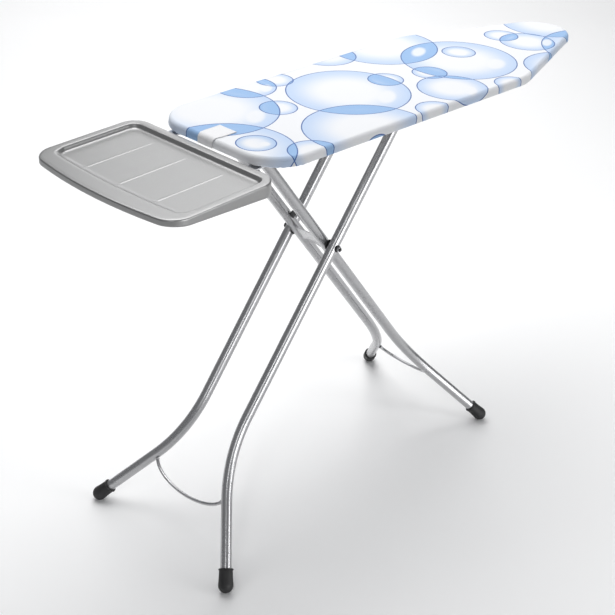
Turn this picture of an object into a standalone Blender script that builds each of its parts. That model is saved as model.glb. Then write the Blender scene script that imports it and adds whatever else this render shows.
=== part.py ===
"""Folding ironing board with a pressed steel rest tray at its wide end.

Metres, +Z up, +X towards the nose of the board. The feet stand on Z = 0, and the origin is on the
floor under the middle of the whole length, tray included. U is measured along +X from the rear
edge of the covered board, so a place at U has X = U - MIDDLE.
"""

import math

import bmesh
import bpy
from mathutils import Vector

# ---------------------------------------------------------------- driving dimensions
GAP = 0.0003  # left between pieces that touch

# covered board, in plan
BOARD_LENGTH = 1.217  # rear edge to nose tip, over the cover
REAR_WIDTH = 0.373
SHOULDER_WIDTH = 0.397  # widest place, where the taper starts
SHOULDER_U = 0.819
NOSE_RADIUS = 0.0825
SHOULDER_RADIUS = 0.16
REAR_CORNER_RADIUS = 0.094
BOARD_HEIGHT = 0.956  # floor to ironing surface

# board build-up, from the surface down
COVER_THICK = 0.0012
PAD_THICK = 0.004
MESH_THICK = 0.0010
RIM_THICK = 0.0012
RIM_LEDGE = 0.024  # inward flange: the mesh rests on it, the braces are welded under it
COVER_SIDE = 0.0210  # visible height of the covered edge
COVER_HEM = 0.016  # the cover turns under the rim by this much
COVER_FOLD = 0.0015  # inside of the turn
EDGE_ROUND = 0.006

# expanded metal top
MESH_PITCH_U = 0.072
MESH_PITCH_Y = 0.046
MESH_HOLE_U = 0.054
MESH_HOLE_Y = 0.030
MESH_BORDER = 0.018

# legs
TUBE_RADIUS = 0.0125
TUBE_WALL = 0.0011
LEG_ANGLE = math.radians(52.5)  # to the floor, both frames
UPPER_LEG = 0.3637  # pivot to top rod, both frames
HINGE_U = 0.0882  # the inner frame's top rod
INNER_HALF = 0.0410  # tube centre to the middle plane, at the pivot
SPACER_THICK = 0.0019
OUTER_FOOT_HALF = 0.2240
INNER_FOOT_HALF = 0.1995
SPLAY_ANGLE = math.radians(33.0)  # the lower legs bend outwards by this
SPLAY_RADIUS = 0.34
FOOT_RADIUS = 0.0170
FOOT_SLEEVE = 0.036  # straight part of a foot cap, above its round end

# top rods, hinge and slide
ROD_RADIUS = 0.007
ROD_CLEARANCE = 0.0003
FOLDED_ANGLE = math.radians(2.5)  # of both frames to the floor when folded flat
RAIL_WALL = 0.0015
RAIL_INSIDE = 0.020
RAIL_DEPTH = 0.0165
RAIL_SPACE = 0.0040  # between a rail and the outer leg beside it
RAIL_BEHIND = 0.043  # rail behind the rod in use, and ahead of the rod when folded
RAIL_AHEAD = 0.064
ROLLER_CLEARANCE = 0.0003
BRACKET_SPACE = 0.0045  # between a hinge bracket and the inner leg beside it
BRACKET_THICK = 0.0020

# cross braces under the mesh
REAR_BRACE = (0.030, 0.062)  # start and end in U
BRACE_WIDTH = 0.026  # the other two
BRACE_DEPTH = 0.0166
BRACE_WALL = 0.0015

# scissor pivot
BOLT_RADIUS = 0.0040
BOLT_CLEARANCE = 0.0003
SPACER_RADIUS = 0.0130
HEAD_RADIUS = 0.0070
NUT_RADIUS = 0.0065
WASHER_RADIUS = 0.0085
WASHER_THICK = 0.0022

# stretchers between the lower legs
WIRE_RADIUS = 0.0038
OUTER_WIRE = (0.1478, 0.046)  # where it is welded, up the leg from the foot, and its bow
INNER_WIRE = (0.1518, 0.041)

# rest tray
TRAY_BACK_U = -0.0133
TRAY_FRONT_U = -0.2765  # front edge at its corners
TRAY_BULGE = 0.0215  # the front edge bows out by this in the middle
TRAY_WIDTH = 0.4340
TRAY_CORNER = 0.040
TRAY_STEP = 0.0148  # the tray's back edge lies lower than the ironing surface by this
TRAY_SLOPE = 0.0366  # fall per metre towards the front
TRAY_SHEET = 0.0012
TRAY_DEPTH = 0.0100
TRAY_RIM = 0.0200
TRAY_SKIRT_BACK = 0.0300
TRAY_SKIRT_FRONT = 0.0135
TRAY_BACK_SKIRT = 0.0080  # on the side that faces the board, between the corners

# tray straps
STRAP_HALF = 0.120
STRAP_WIDTH = 0.026
STRAP_THICK = 0.0030
STRAP_FRONT_U = -0.235
SCREW_RADIUS = 0.0022
SCREW_HEAD_RADIUS = 0.0048
SCREW_HEAD = 0.0026
SCREW_PLACES_U = (-0.075, -0.205)

# height lever
LEVER_PIN_AHEAD = 0.0892  # of the rod in use
LEVER_PIN_RADIUS = 0.0030
LEVER_THICK = 0.0030
LEVER_TALL = 0.0120
LEVER_DROP = 0.0070  # its pin lies lower than the rods, so the handle can rise under the brace
LEVER_STANDOFF = 0.0115  # rail's outer face to the middle of the lever bar
LEVER_LENGTH = 0.180  # pin to the end of the handle
LEVER_OFFSET = 0.0120  # the handle stands this much further out
LEVER_CRANK = (0.075, 0.105)  # from the pin, where the bar starts and stops turning outwards
GRIP_LENGTH = 0.068
GRIP_WALL = 0.0025
CATCH_AHEAD = 0.0252  # of the rod in use
CATCH_WIDTH = 0.012
CATCH_THICK = 0.0025
CATCH_REACH = 0.030  # its tooth stands this far from the middle plane
TOOTH_CLEARANCE = 0.001  # over the sliding rod

RACK_TOOTH = 0.0050
RACK_STEPS = 8
RACK_START = 0.020  # ahead of the rod in use
RACK_THICK = 0.0030

TAG_WIDTH = 0.050
TAG_THICK = 0.0006
TAG_SIDE = 0.008  # middle of the tag to the middle plane

TUBE_SIDES = 16
BEND_STEPS = 8

# ---------------------------------------------------------------- derived places
TRAY_REACH = TRAY_FRONT_U - TRAY_BULGE
MIDDLE = (BOARD_LENGTH + TRAY_REACH) / 2
PAD_TOP = BOARD_HEIGHT - COVER_THICK - GAP
MESH_TOP = PAD_TOP - PAD_THICK - GAP
RIM_BOTTOM = BOARD_HEIGHT - COVER_SIDE + COVER_THICK + COVER_FOLD + GAP
LEDGE_TOP = MESH_TOP - MESH_THICK - GAP
BRACE_TOP = LEDGE_TOP - RIM_THICK - GAP
BRACE_BOTTOM = BRACE_TOP - BRACE_DEPTH
ROD_HEIGHT = BRACE_BOTTOM - GAP - RAIL_WALL - RAIL_INSIDE / 2
TRAY_TOP_BACK = BOARD_HEIGHT - TRAY_STEP
PIVOT_HEIGHT = ROD_HEIGHT - UPPER_LEG * math.sin(LEG_ANGLE)
LOWER_LEG = (PIVOT_HEIGHT - FOOT_RADIUS) / math.sin(LEG_ANGLE)
PIVOT_U = HINGE_U + UPPER_LEG * math.cos(LEG_ANGLE)
SLIDE_U = HINGE_U + 2 * UPPER_LEG * math.cos(LEG_ANGLE)
SLIDE_FOLDED_U = HINGE_U + 2 * UPPER_LEG * math.cos(FOLDED_ANGLE)
RAIL_ENDS = (SLIDE_U - RAIL_BEHIND, SLIDE_FOLDED_U + RAIL_AHEAD)
MID_BRACE = (RAIL_ENDS[0], RAIL_ENDS[0] + BRACE_WIDTH)
FRONT_BRACE = (RAIL_ENDS[1] - BRACE_WIDTH, RAIL_ENDS[1])
OUTER_HALF = INNER_HALF + 2 * TUBE_RADIUS + SPACER_THICK + 2 * GAP
BRACKET_HALF = INNER_HALF + TUBE_RADIUS + BRACKET_SPACE + BRACKET_THICK / 2
RAIL_HALF = OUTER_HALF + TUBE_RADIUS + RAIL_SPACE + RAIL_DEPTH
LEVER_PIN_U = SLIDE_U + LEVER_PIN_AHEAD
LEVER_HEIGHT = ROD_HEIGHT - LEVER_DROP
LEVER_HANDLE_U = LEVER_PIN_U - LEVER_LENGTH
LEVER_HALF = RAIL_HALF + LEVER_STANDOFF
LEVER_HANDLE_HALF = LEVER_HALF + LEVER_OFFSET
RIM_INSET = COVER_THICK + GAP

MATERIALS = {
    "cover_cotton": ((0.80, 0.86, 0.93), 0.85, 0.0),
    "foam": ((0.86, 0.86, 0.84), 0.95, 0.0),
    "tag_cotton": ((0.92, 0.92, 0.92), 0.85, 0.0),
    "silver_paint": ((0.60, 0.60, 0.61), 0.32, 0.75),
    "tray_paint": ((0.56, 0.56, 0.56), 0.45, 0.25),
    "galvanised": ((0.55, 0.56, 0.58), 0.42, 0.90),
    "chrome": ((0.80, 0.80, 0.82), 0.12, 1.0),
    "black_rubber": ((0.015, 0.015, 0.016), 0.62, 0.0),
    "black_plastic": ((0.020, 0.020, 0.022), 0.40, 0.0),
    "nylon": ((0.85, 0.84, 0.80), 0.45, 0.0),
}


# ---------------------------------------------------------------- helpers
def clear_scene():
    for old in list(bpy.data.objects):
        bpy.data.objects.remove(old, do_unlink=True)


def material(name):
    found = bpy.data.materials.get(name)
    if found:
        return found
    colour, roughness, metallic = MATERIALS[name]
    made = bpy.data.materials.new(name)
    made.use_nodes = True
    shader = made.node_tree.nodes["Principled BSDF"]
    shader.inputs["Base Color"].default_value = (*colour, 1.0)
    shader.inputs["Roughness"].default_value = roughness
    shader.inputs["Metallic"].default_value = metallic
    return made


def make_object(name, mesh_data, finish, parent=None):
    made = bpy.data.objects.new(name, mesh_data)
    bpy.context.scene.collection.objects.link(made)
    if finish:
        mesh_data.materials.append(material(finish))
    if parent:
        made.parent = parent
        made.matrix_parent_inverse = parent.matrix_world.inverted()
    return made


def close_mesh(name, bm, sharp=35.0):
    """Faces turned outwards, shaded smooth except at sharp edges."""
    bmesh.ops.recalc_face_normals(bm, faces=bm.faces)
    if bm.calc_volume(signed=True) < 0:
        bmesh.ops.reverse_faces(bm, faces=bm.faces)
    made = bpy.data.meshes.new(name)
    bm.to_mesh(made)
    bm.free()
    made.shade_smooth()
    made.set_sharp_from_angle(angle=math.radians(sharp))
    return made


def loft(name, rings, finish, parent=None, closed=False):
    """A solid through rings with equal point counts: capped at both ends, or closed on itself."""
    bm = bmesh.new()
    rows = [[bm.verts.new(point) for point in ring] for ring in rings]
    pairs = list(zip(rows, rows[1:]))
    if closed:
        pairs.append((rows[-1], rows[0]))
    count = len(rows[0])
    for lower, upper in pairs:
        for i in range(count):
            j = (i + 1) % count
            bm.faces.new((lower[i], lower[j], upper[j], upper[i]))
    if not closed:
        bm.faces.new(rows[0])
        bm.faces.new(rows[-1])
    return make_object(name, close_mesh(name, bm), finish, parent)


def slab(name, outline, along, start, end, finish, parent=None):
    """An outline of (a, b) points pushed along one axis, 'Y' or 'Z' or 'X', from start to end."""
    place = {
        "X": lambda a, b, c: (c, a, b),
        "Y": lambda a, b, c: (a, c, b),
        "Z": lambda a, b, c: (a, b, c),
    }[along]
    rings = [[place(a, b, c) for a, b in outline] for c in (start, end)]
    return loft(name, rings, finish, parent)


def ring_at(centre, first, second, radius, sides=TUBE_SIDES):
    points = []
    for i in range(sides):
        angle = 2 * math.pi * (i + 0.5) / sides
        points.append(centre + radius * (math.cos(angle) * first + math.sin(angle) * second))
    return points


def path_rings(path, normal, radius, sides=TUBE_SIDES):
    """Rings square to a path that lies in the plane with this normal."""
    rings = []
    for i, point in enumerate(path):
        ahead = path[min(i + 1, len(path) - 1)] - path[max(i - 1, 0)]
        side = ahead.normalized().cross(normal)
        rings.append(ring_at(point, normal, side, radius, sides))
    return rings


def turned(name, base, axis, profile, finish, parent=None, sides=TUBE_SIDES):
    """A solid of revolution: profile holds (distance along the axis, radius)."""
    axis = axis.normalized()
    first = axis.orthogonal().normalized()
    second = axis.cross(first)
    rings = [ring_at(base + axis * along, first, second, r, sides) for along, r in profile]
    return loft(name, rings, finish, parent)


def bored(name, base, axis, length, radius, bore, finish, parent=None, sides=TUBE_SIDES):
    """A round bar with a hole right through it."""
    axis = axis.normalized()
    first = axis.orthogonal().normalized()
    second = axis.cross(first)
    ends = ((0.0, radius), (length, radius), (length, bore), (0.0, bore))
    rings = [ring_at(base + axis * along, first, second, r, sides) for along, r in ends]
    return loft(name, rings, finish, parent, closed=True)


def drill(target, name, base, axis, length, radius, sides=TUBE_SIDES):
    """Cuts a round hole through target with a hidden cutter."""
    cutter = turned(name, base, axis, ((0.0, radius), (length, radius)), None, sides=sides)
    cutter.hide_render = True
    cutter.display_type = "WIRE"
    cut = target.modifiers.new("hole", "BOOLEAN")
    cut.operation = "DIFFERENCE"
    cut.solver = "EXACT"
    cut.object = cutter


def at(u, y, z):
    return Vector((u - MIDDLE, y, z))


def pivot_frame(name, u, z):
    """An empty on a joint's axis: the pieces of the moving body hang from it."""
    made = bpy.data.objects.new(name, None)
    made.empty_display_size = 0.03
    bpy.context.scene.collection.objects.link(made)
    made.location = at(u, 0.0, z)
    bpy.context.view_layer.update()
    return made


# ---------------------------------------------------------------- outlines in plan
def line_cross(p, d, q, e):
    scale = ((q.x - p.x) * e.y - (q.y - p.y) * e.x) / (d.x * e.y - d.y * e.x)
    return p + d * scale


def rounded(corners, inset=0.0):
    """Counter-clockwise outline: corners are (u, y, radius, steps), moved inwards by inset."""
    points = [Vector((u, y)) for u, y, _, _ in corners]
    count = len(points)
    sides = []
    for i in range(count):
        along = (points[(i + 1) % count] - points[i]).normalized()
        inward = Vector((-along.y, along.x))
        sides.append((points[i] + inward * inset, along))
    outline = []
    for i in range(count):
        (p, before), (q, after) = sides[i - 1], sides[i]
        corner = line_cross(p, before, q, after)
        radius = max(corners[i][2] - inset, 0.004)
        steps = corners[i][3]
        turn = before.angle(after)
        reach = radius * math.tan(turn / 2)
        centre = corner - before * reach + Vector((-before.y, before.x)) * radius
        start = math.atan2(-before.x, before.y)
        for k in range(steps + 1):
            angle = start + turn * k / steps
            outline.append((centre.x + radius * math.cos(angle), centre.y + radius * math.sin(angle)))
    return outline


def board_outline(inset=0.0):
    """The covered board in plan: straight rear, slightly flared sides, a taper and a round nose."""
    rear, shoulder = REAR_WIDTH / 2, SHOULDER_WIDTH / 2
    centre_u = BOARD_LENGTH - NOSE_RADIUS
    reach = math.hypot(centre_u - SHOULDER_U, shoulder)
    slope = math.atan2(shoulder, centre_u - SHOULDER_U) - math.asin(NOSE_RADIUS / reach)
    tip_u = SHOULDER_U + shoulder / math.tan(slope)
    corners = [
        (0.0, -rear, REAR_CORNER_RADIUS, 7),
        (SHOULDER_U, -shoulder, SHOULDER_RADIUS, 4),
        (tip_u, 0.0, NOSE_RADIUS, 14),
        (SHOULDER_U, shoulder, SHOULDER_RADIUS, 4),
        (0.0, rear, REAR_CORNER_RADIUS, 7),
    ]
    return rounded(corners, inset)


def board_ring(inset, z):
    return [at(u, y, z) for u, y in board_outline(inset)]


# ---------------------------------------------------------------- board
def make_cover():
    top, bottom = BOARD_HEIGHT, BOARD_HEIGHT - COVER_SIDE
    inner = COVER_THICK
    rings = [board_ring(EDGE_ROUND, top)]
    for k in (1, 2, 3):
        angle = math.radians(30 * k)
        rings.append(board_ring(EDGE_ROUND * (1 - math.sin(angle)), top - EDGE_ROUND * (1 - math.cos(angle))))
    rings.append(board_ring(0.0, bottom + 0.002))
    rings.append(board_ring(0.002, bottom))
    rings.append(board_ring(COVER_HEM, bottom))
    rings.append(board_ring(COVER_HEM, bottom + inner))
    rings.append(board_ring(inner + COVER_FOLD, bottom + inner))
    rings.append(board_ring(inner, bottom + inner + COVER_FOLD))
    rings.append(board_ring(inner, top - EDGE_ROUND))
    rings.append(board_ring(EDGE_ROUND, top - inner))
    loft("cover", rings, "cover_cotton")


def make_pad():
    """Thin felted foam between the mesh and the cover."""
    bevel = 0.0035
    rings = [
        board_ring(RIM_INSET + EDGE_ROUND, PAD_TOP),
        board_ring(RIM_INSET + 0.001, PAD_TOP - bevel),
        board_ring(RIM_INSET + 0.001, PAD_TOP - PAD_THICK),
    ]
    loft("foam_pad", rings, "foam")


def make_rim():
    """Pressed steel edge: a skirt with a ledge that the mesh rests on."""
    outer, inner = RIM_INSET, RIM_INSET + RIM_THICK
    rings = [
        board_ring(outer, MESH_TOP),
        board_ring(outer, RIM_BOTTOM),
        board_ring(inner, RIM_BOTTOM),
        board_ring(inner, LEDGE_TOP - RIM_THICK),
        board_ring(inner + RIM_LEDGE, LEDGE_TOP - RIM_THICK),
        board_ring(inner + RIM_LEDGE, LEDGE_TOP),
        board_ring(inner, LEDGE_TOP),
        board_ring(inner, MESH_TOP),
    ]
    loft("top_rim", rings, "silver_paint", closed=True)


def diamond_places():
    """Centres of the openings in the expanded metal, in staggered rows."""
    limit = board_outline(MESH_BORDER + MESH_HOLE_Y / 2)
    places = []
    rows = int(SHOULDER_WIDTH / MESH_PITCH_Y) + 1
    for row in range(-rows, rows + 1):
        y = row * MESH_PITCH_Y / 2
        shift = MESH_PITCH_U / 2 if row % 2 else 0.0
        for step in range(int(BOARD_LENGTH / MESH_PITCH_U) + 1):
            u = MESH_PITCH_U / 2 + shift + step * MESH_PITCH_U
            reach = MESH_HOLE_U / 2
            if all(inside(limit, u + side * reach, y) for side in (-1, 1)):
                places.append((u, y))
    return places


def inside(outline, u, y):
    count = len(outline)
    for i in range(count):
        (a, b), (c, d) = outline[i], outline[(i + 1) % count]
        if (c - a) * (y - b) - (d - b) * (u - a) < 0:
            return False
    return True


def make_mesh_top():
    """Expanded metal: a sheet with staggered diamond openings."""
    inset = RIM_INSET + RIM_THICK + GAP
    rings = [board_ring(inset, MESH_TOP), board_ring(inset, MESH_TOP - MESH_THICK)]
    sheet = loft("top_mesh", rings, "silver_paint")
    bm = bmesh.new()
    for u, y in diamond_places():
        corners = ((MESH_HOLE_U / 2, 0), (0, MESH_HOLE_Y / 2), (-MESH_HOLE_U / 2, 0), (0, -MESH_HOLE_Y / 2))
        low = [bm.verts.new(at(u + a, y + b, MESH_TOP - 3 * MESH_THICK)) for a, b in corners]
        high = [bm.verts.new(at(u + a, y + b, MESH_TOP + 2 * MESH_THICK)) for a, b in corners]
        bm.faces.new(low[::-1])
        bm.faces.new(high)
        for i in range(4):
            j = (i + 1) % 4
            bm.faces.new((low[i], low[j], high[j], high[i]))
    cutter = make_object("mesh_openings", close_mesh("mesh_openings", bm), None)
    cutter.hide_render = True
    cutter.display_type = "WIRE"
    cut = sheet.modifiers.new("openings", "BOOLEAN")
    cut.operation = "DIFFERENCE"
    cut.solver = "EXACT"
    cut.object = cutter


def make_brace(name, span):
    """A channel of folded sheet across the underside, from ledge to ledge of the rim."""
    start, end = span
    inset = COVER_HEM + GAP
    reach = min(outline_half(start, inset), outline_half(end, inset))
    wall = BRACE_WALL
    outline = [
        (start, BRACE_BOTTOM), (end, BRACE_BOTTOM), (end, BRACE_TOP), (end - wall, BRACE_TOP),
        (end - wall, BRACE_BOTTOM + wall), (start + wall, BRACE_BOTTOM + wall),
        (start + wall, BRACE_TOP), (start, BRACE_TOP),
    ]
    rings = [[at(u, y, z) for u, z in outline] for y in (-reach, reach)]
    loft(name, rings, "silver_paint")


def outline_half(u, inset):
    """Half the board's width at u, inside its outline by inset."""
    outline = board_outline(inset)
    reach = 1.0
    for (a, b), (c, d) in zip(outline, outline[1:] + outline[:1]):
        if min(a, c) <= u <= max(a, c) and a != c and b > 0 and d > 0:
            reach = min(reach, b + (d - b) * (u - a) / (c - a))
    return reach


def make_hinge_bracket(side, hand):
    """Plate under the rear brace that carries the inner frame's top rod."""
    hole = ROD_RADIUS + ROD_CLEARANCE
    top = BRACE_BOTTOM - GAP
    low = ROD_HEIGHT - hole - 0.004
    rear = HINGE_U - 0.058
    front = HINGE_U + hole + 0.004
    outline = [
        (rear, top), (rear, top - 0.007), (HINGE_U - 0.014, low), (HINGE_U + 0.006, low),
        (front, ROD_HEIGHT - 0.004), (front, top),
    ]
    middle = side * BRACKET_HALF
    rings = []
    for y in (middle - BRACKET_THICK / 2, middle + BRACKET_THICK / 2):
        rings.append([at(u, y, z) for u, z in outline])
    plate = loft(f"hinge_bracket_{hand}", rings, "galvanised")
    start = at(HINGE_U, middle - 0.01, ROD_HEIGHT)
    drill(plate, f"hinge_hole_{hand}", start, Vector((0, 1, 0)), 0.02, hole)


def make_slide_rail(side, hand):
    """C rail, open towards the middle, in which the outer frame's top rod slides."""
    web = side * RAIL_HALF
    lip = side * (RAIL_HALF - RAIL_DEPTH)
    inner = side * (RAIL_HALF - RAIL_WALL)
    half = RAIL_INSIDE / 2
    tall = half + RAIL_WALL
    outline = [
        (web, -tall), (web, tall), (lip, tall), (lip, half), (inner, half), (inner, -half),
        (lip, -half), (lip, -tall),
    ]
    rings = [[at(u, y, ROD_HEIGHT + z) for y, z in outline] for u in RAIL_ENDS]
    loft(f"slide_rail_{hand}", rings, "galvanised")


def make_height_rack():
    """Toothed strip between the mid and front braces: the height positions."""
    start, end = MID_BRACE[1] + GAP, FRONT_BRACE[0] - GAP
    low = ROD_HEIGHT + ROD_RADIUS + TOOTH_CLEARANCE
    top = BRACE_TOP - 0.002
    root = low + RACK_TOOTH
    first = SLIDE_U + RACK_START
    pitch = (end - 0.012 - first) / RACK_STEPS
    outline = [(start, root)]
    for step in range(RACK_STEPS):
        u = first + step * pitch
        outline += [(u, root), (u + 0.001, low), (u + 0.007, low), (u + 0.016, root)]
    outline += [(end, root), (end, top), (start, top)]
    rings = [[at(u, y, z) for u, z in outline] for y in (-RACK_THICK / 2, RACK_THICK / 2)]
    loft("height_rack", rings, "galvanised")


def make_tag():
    """Blank woven tag, where it hangs over the rear edge of the cover."""
    top, low = BOARD_HEIGHT - EDGE_ROUND, BOARD_HEIGHT - COVER_SIDE + 0.004
    outline = [(-GAP - TAG_THICK, low), (-GAP, low), (-GAP, top), (-GAP - TAG_THICK, top)]
    rings = []
    for y in (TAG_SIDE - TAG_WIDTH / 2, TAG_SIDE + TAG_WIDTH / 2):
        rings.append([at(u, y, z) for u, z in outline])
    loft("care_tag", rings, "tag_cotton")


# ---------------------------------------------------------------- rest tray
def tray_top(u):
    return TRAY_TOP_BACK + TRAY_SLOPE * (u - TRAY_BACK_U)


def tray_outline(inset):
    """Plan of the tray: straight back and sides, and a front edge that bows out."""
    half = TRAY_WIDTH / 2
    corners = [
        (TRAY_FRONT_U, -half, TRAY_CORNER, 7),
        (TRAY_BACK_U, -half, TRAY_CORNER * 0.8, 7),
        (TRAY_BACK_U, half, TRAY_CORNER * 0.8, 7),
        (TRAY_FRONT_U, half, TRAY_CORNER, 7),
    ]
    outline = rounded(corners, inset)
    filled = []
    for i, (u, y) in enumerate(outline):
        v, w = outline[(i + 1) % len(outline)]
        filled.append((u, y))
        parts = 6 if math.hypot(v - u, w - y) > 0.05 else 1
        for k in range(1, parts):
            filled.append((u + (v - u) * k / parts, y + (w - y) * k / parts))
    bowed = []
    for u, y in filled:
        ahead = (TRAY_BACK_U - u) / (TRAY_BACK_U - TRAY_FRONT_U)
        share = max(0.0, ahead) ** 3 * (1 - (y / half) ** 2)
        bowed.append((u - TRAY_BULGE * share, y))
    return bowed


def tray_ring(inset, drop):
    return [at(u, y, tray_top(u) - drop) for u, y in tray_outline(inset)]


def skirt_drop(u, y):
    """Height of the tray's skirt at a place on its edge."""
    share = (TRAY_BACK_U - u) / (TRAY_BACK_U - TRAY_FRONT_U)
    side = TRAY_SKIRT_BACK + (TRAY_SKIRT_FRONT - TRAY_SKIRT_BACK) * min(max(share, 0.0), 1.0)
    if u > TRAY_BACK_U - 0.004 and abs(y) < TRAY_WIDTH / 2 - TRAY_CORNER:
        return TRAY_BACK_SKIRT
    return side


def skirt_ring(inset):
    ring = []
    for (u, y), (a, b) in zip(tray_outline(inset), tray_outline(0.0)):
        ring.append(at(u, y, tray_top(a) - skirt_drop(a, b)))
    return ring


def make_tray():
    sheet, floor = TRAY_SHEET, TRAY_DEPTH
    upper = [
        tray_ring(TRAY_RIM + 0.060, floor),
        tray_ring(TRAY_RIM + 0.010, floor),
        tray_ring(TRAY_RIM + 0.004, floor - 0.002),
        tray_ring(TRAY_RIM, 0.001),
        tray_ring(TRAY_RIM - 0.002, 0.0),
        tray_ring(0.003, 0.0),
        tray_ring(0.0006, 0.001),
        tray_ring(0.0, 0.004),
        skirt_ring(0.0),
    ]
    lower = [
        skirt_ring(sheet),
        tray_ring(sheet, 0.004),
        tray_ring(0.003, sheet),
        tray_ring(TRAY_RIM - 0.002, sheet),
        tray_ring(TRAY_RIM - 0.0005, sheet + 0.001),
        tray_ring(TRAY_RIM + 0.003, floor + sheet - 0.0015),
        tray_ring(TRAY_RIM + 0.010, floor + sheet),
        tray_ring(TRAY_RIM + 0.060, floor + sheet),
    ]
    loft("unit_tray", upper + lower, "tray_paint")


def tray_under(u):
    return tray_top(u) - TRAY_DEPTH - TRAY_SHEET


def strap_top(u):
    return min(tray_under(u), BOARD_HEIGHT - COVER_SIDE) - GAP


def make_strap(side, hand):
    """Flat strap from the rear brace to the tray's floor, which it carries."""
    back = REAR_BRACE[1]
    joint = BRACE_BOTTOM - GAP
    bend = TRAY_BACK_U - TRAY_RIM - 0.012
    tip = STRAP_FRONT_U
    top = [(back, joint), (REAR_BRACE[0] - 0.004, joint), (bend, strap_top(bend)), (tip, strap_top(tip))]
    outline = top + [(u, z - STRAP_THICK) for u, z in reversed(top)]
    middle = side * STRAP_HALF
    rings = []
    for y in (middle - STRAP_WIDTH / 2, middle + STRAP_WIDTH / 2):
        rings.append([at(u, y, z) for u, z in outline])
    strap = loft(f"tray_strap_{hand}", rings, "galvanised")
    for number, u in enumerate(SCREW_PLACES_U, 1):
        base = at(u, middle, strap_top(u) - 0.012)
        up = Vector((0, 0, 1))
        drill(strap, f"screw_hole_{hand}_{number}", base, up, 0.024, SCREW_RADIUS + GAP)
        head = at(u, middle, strap_top(u) - STRAP_THICK - GAP - SCREW_HEAD - 0.0004)
        tall = SCREW_HEAD + STRAP_THICK + GAP - 0.0004
        profile = ((0.0, SCREW_HEAD_RADIUS * 0.7), (SCREW_HEAD * 0.5, SCREW_HEAD_RADIUS),
                   (SCREW_HEAD, SCREW_HEAD_RADIUS), (SCREW_HEAD, SCREW_RADIUS), (tall, SCREW_RADIUS))
        turned(f"tray_screw_{hand}_{number}", head, up, profile, "galvanised", sides=12)


# ---------------------------------------------------------------- leg frames
def leg_plane(lean):
    """Down the leg and square to its plane: lean is -1 for the outer frame, 1 for the inner."""
    down = Vector((lean * math.cos(LEG_ANGLE), 0.0, -math.sin(LEG_ANGLE)))
    normal = Vector((math.sin(LEG_ANGLE), 0.0, lean * math.cos(LEG_ANGLE)))
    return down, normal


def leg_point(lean, s, y, off=0.0):
    down, normal = leg_plane(lean)
    return at(PIVOT_U, y, PIVOT_HEIGHT) + down * s + normal * off


def splay(half, foot_half):
    """Where a leg's bend would have its corner, measured down the leg from the pivot."""
    return LOWER_LEG - (foot_half - half) / math.tan(SPLAY_ANGLE)


def leg_path(lean, side, half, foot_half):
    """Centre line of one leg tube, from under its top rod to inside its foot cap."""
    corner = splay(half, foot_half)
    reach = SPLAY_RADIUS * math.tan(SPLAY_ANGLE / 2)
    start = corner - reach
    path = [leg_point(lean, -UPPER_LEG + ROD_RADIUS + GAP, side * half), leg_point(lean, start, side * half)]
    for k in range(1, BEND_STEPS + 1):
        angle = SPLAY_ANGLE * k / BEND_STEPS
        s = start + SPLAY_RADIUS * math.sin(angle)
        y = half + SPLAY_RADIUS * (1 - math.cos(angle))
        path.append(leg_point(lean, s, side * y))
    foot = leg_point(lean, LOWER_LEG, side * foot_half)
    along = foot - path[-1]
    path.append(foot - along.normalized() * 0.004)
    return path, foot, along.normalized()


def make_leg(frame, hand, lean, side, half, foot_half, parent):
    path, foot, along = leg_path(lean, side, half, foot_half)
    normal = leg_plane(lean)[1]
    outer = path_rings(path, normal, TUBE_RADIUS)
    inner = path_rings(path, normal, TUBE_RADIUS - TUBE_WALL)
    leg = loft(f"{frame}_leg_{hand}", outer + inner[::-1], "silver_paint", parent, closed=True)
    start = at(PIVOT_U, side * half - 0.02, PIVOT_HEIGHT)
    drill(leg, f"{frame}_hole_{hand}", start, Vector((0, 1, 0)), 0.04, BOLT_RADIUS + BOLT_CLEARANCE)
    make_foot(f"{frame}_foot_{hand}", foot, along, parent)


def make_foot(name, foot, along, parent):
    """Rubber cap: a sleeve over the tube with a round end that stands on the floor."""
    bore = TUBE_RADIUS + GAP
    seat = -0.004 + GAP
    profile = [(seat, bore * 0.5), (seat, bore), (-FOOT_SLEEVE, bore), (-FOOT_SLEEVE, FOOT_RADIUS - 0.001),
               (-FOOT_SLEEVE + 0.001, FOOT_RADIUS)]
    for k in range(0, 6):
        angle = math.radians(16 * k)
        profile.append((FOOT_RADIUS * math.sin(angle), FOOT_RADIUS * math.cos(angle)))
    turned(name, foot, along, profile, "black_rubber", parent, sides=18)


def make_stretcher(frame, lean, half, foot_half, wire, parent):
    """Bowed wire welded between the lower legs."""
    up, bow = wire
    down = LOWER_LEG - up
    corner = splay(half, foot_half)
    centre = half + (down - corner) * math.tan(SPLAY_ANGLE)
    reach = centre - TUBE_RADIUS / math.cos(SPLAY_ANGLE) - WIRE_RADIUS / 3
    steps = 14
    path = []
    flat = 0.97  # the bow is this much of a half ellipse
    lift = bow * math.sqrt(1 - flat * flat)
    for k in range(steps + 1):
        t = -1 + 2 * k / steps
        sag = bow * math.sqrt(1 - (flat * t) ** 2) - lift
        path.append(leg_point(lean, down + sag, t * reach))
    normal = leg_plane(lean)[1]
    rings = path_rings(path, normal, WIRE_RADIUS, 8)
    loft(f"{frame}_stretcher", rings, "silver_paint", parent)


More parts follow.
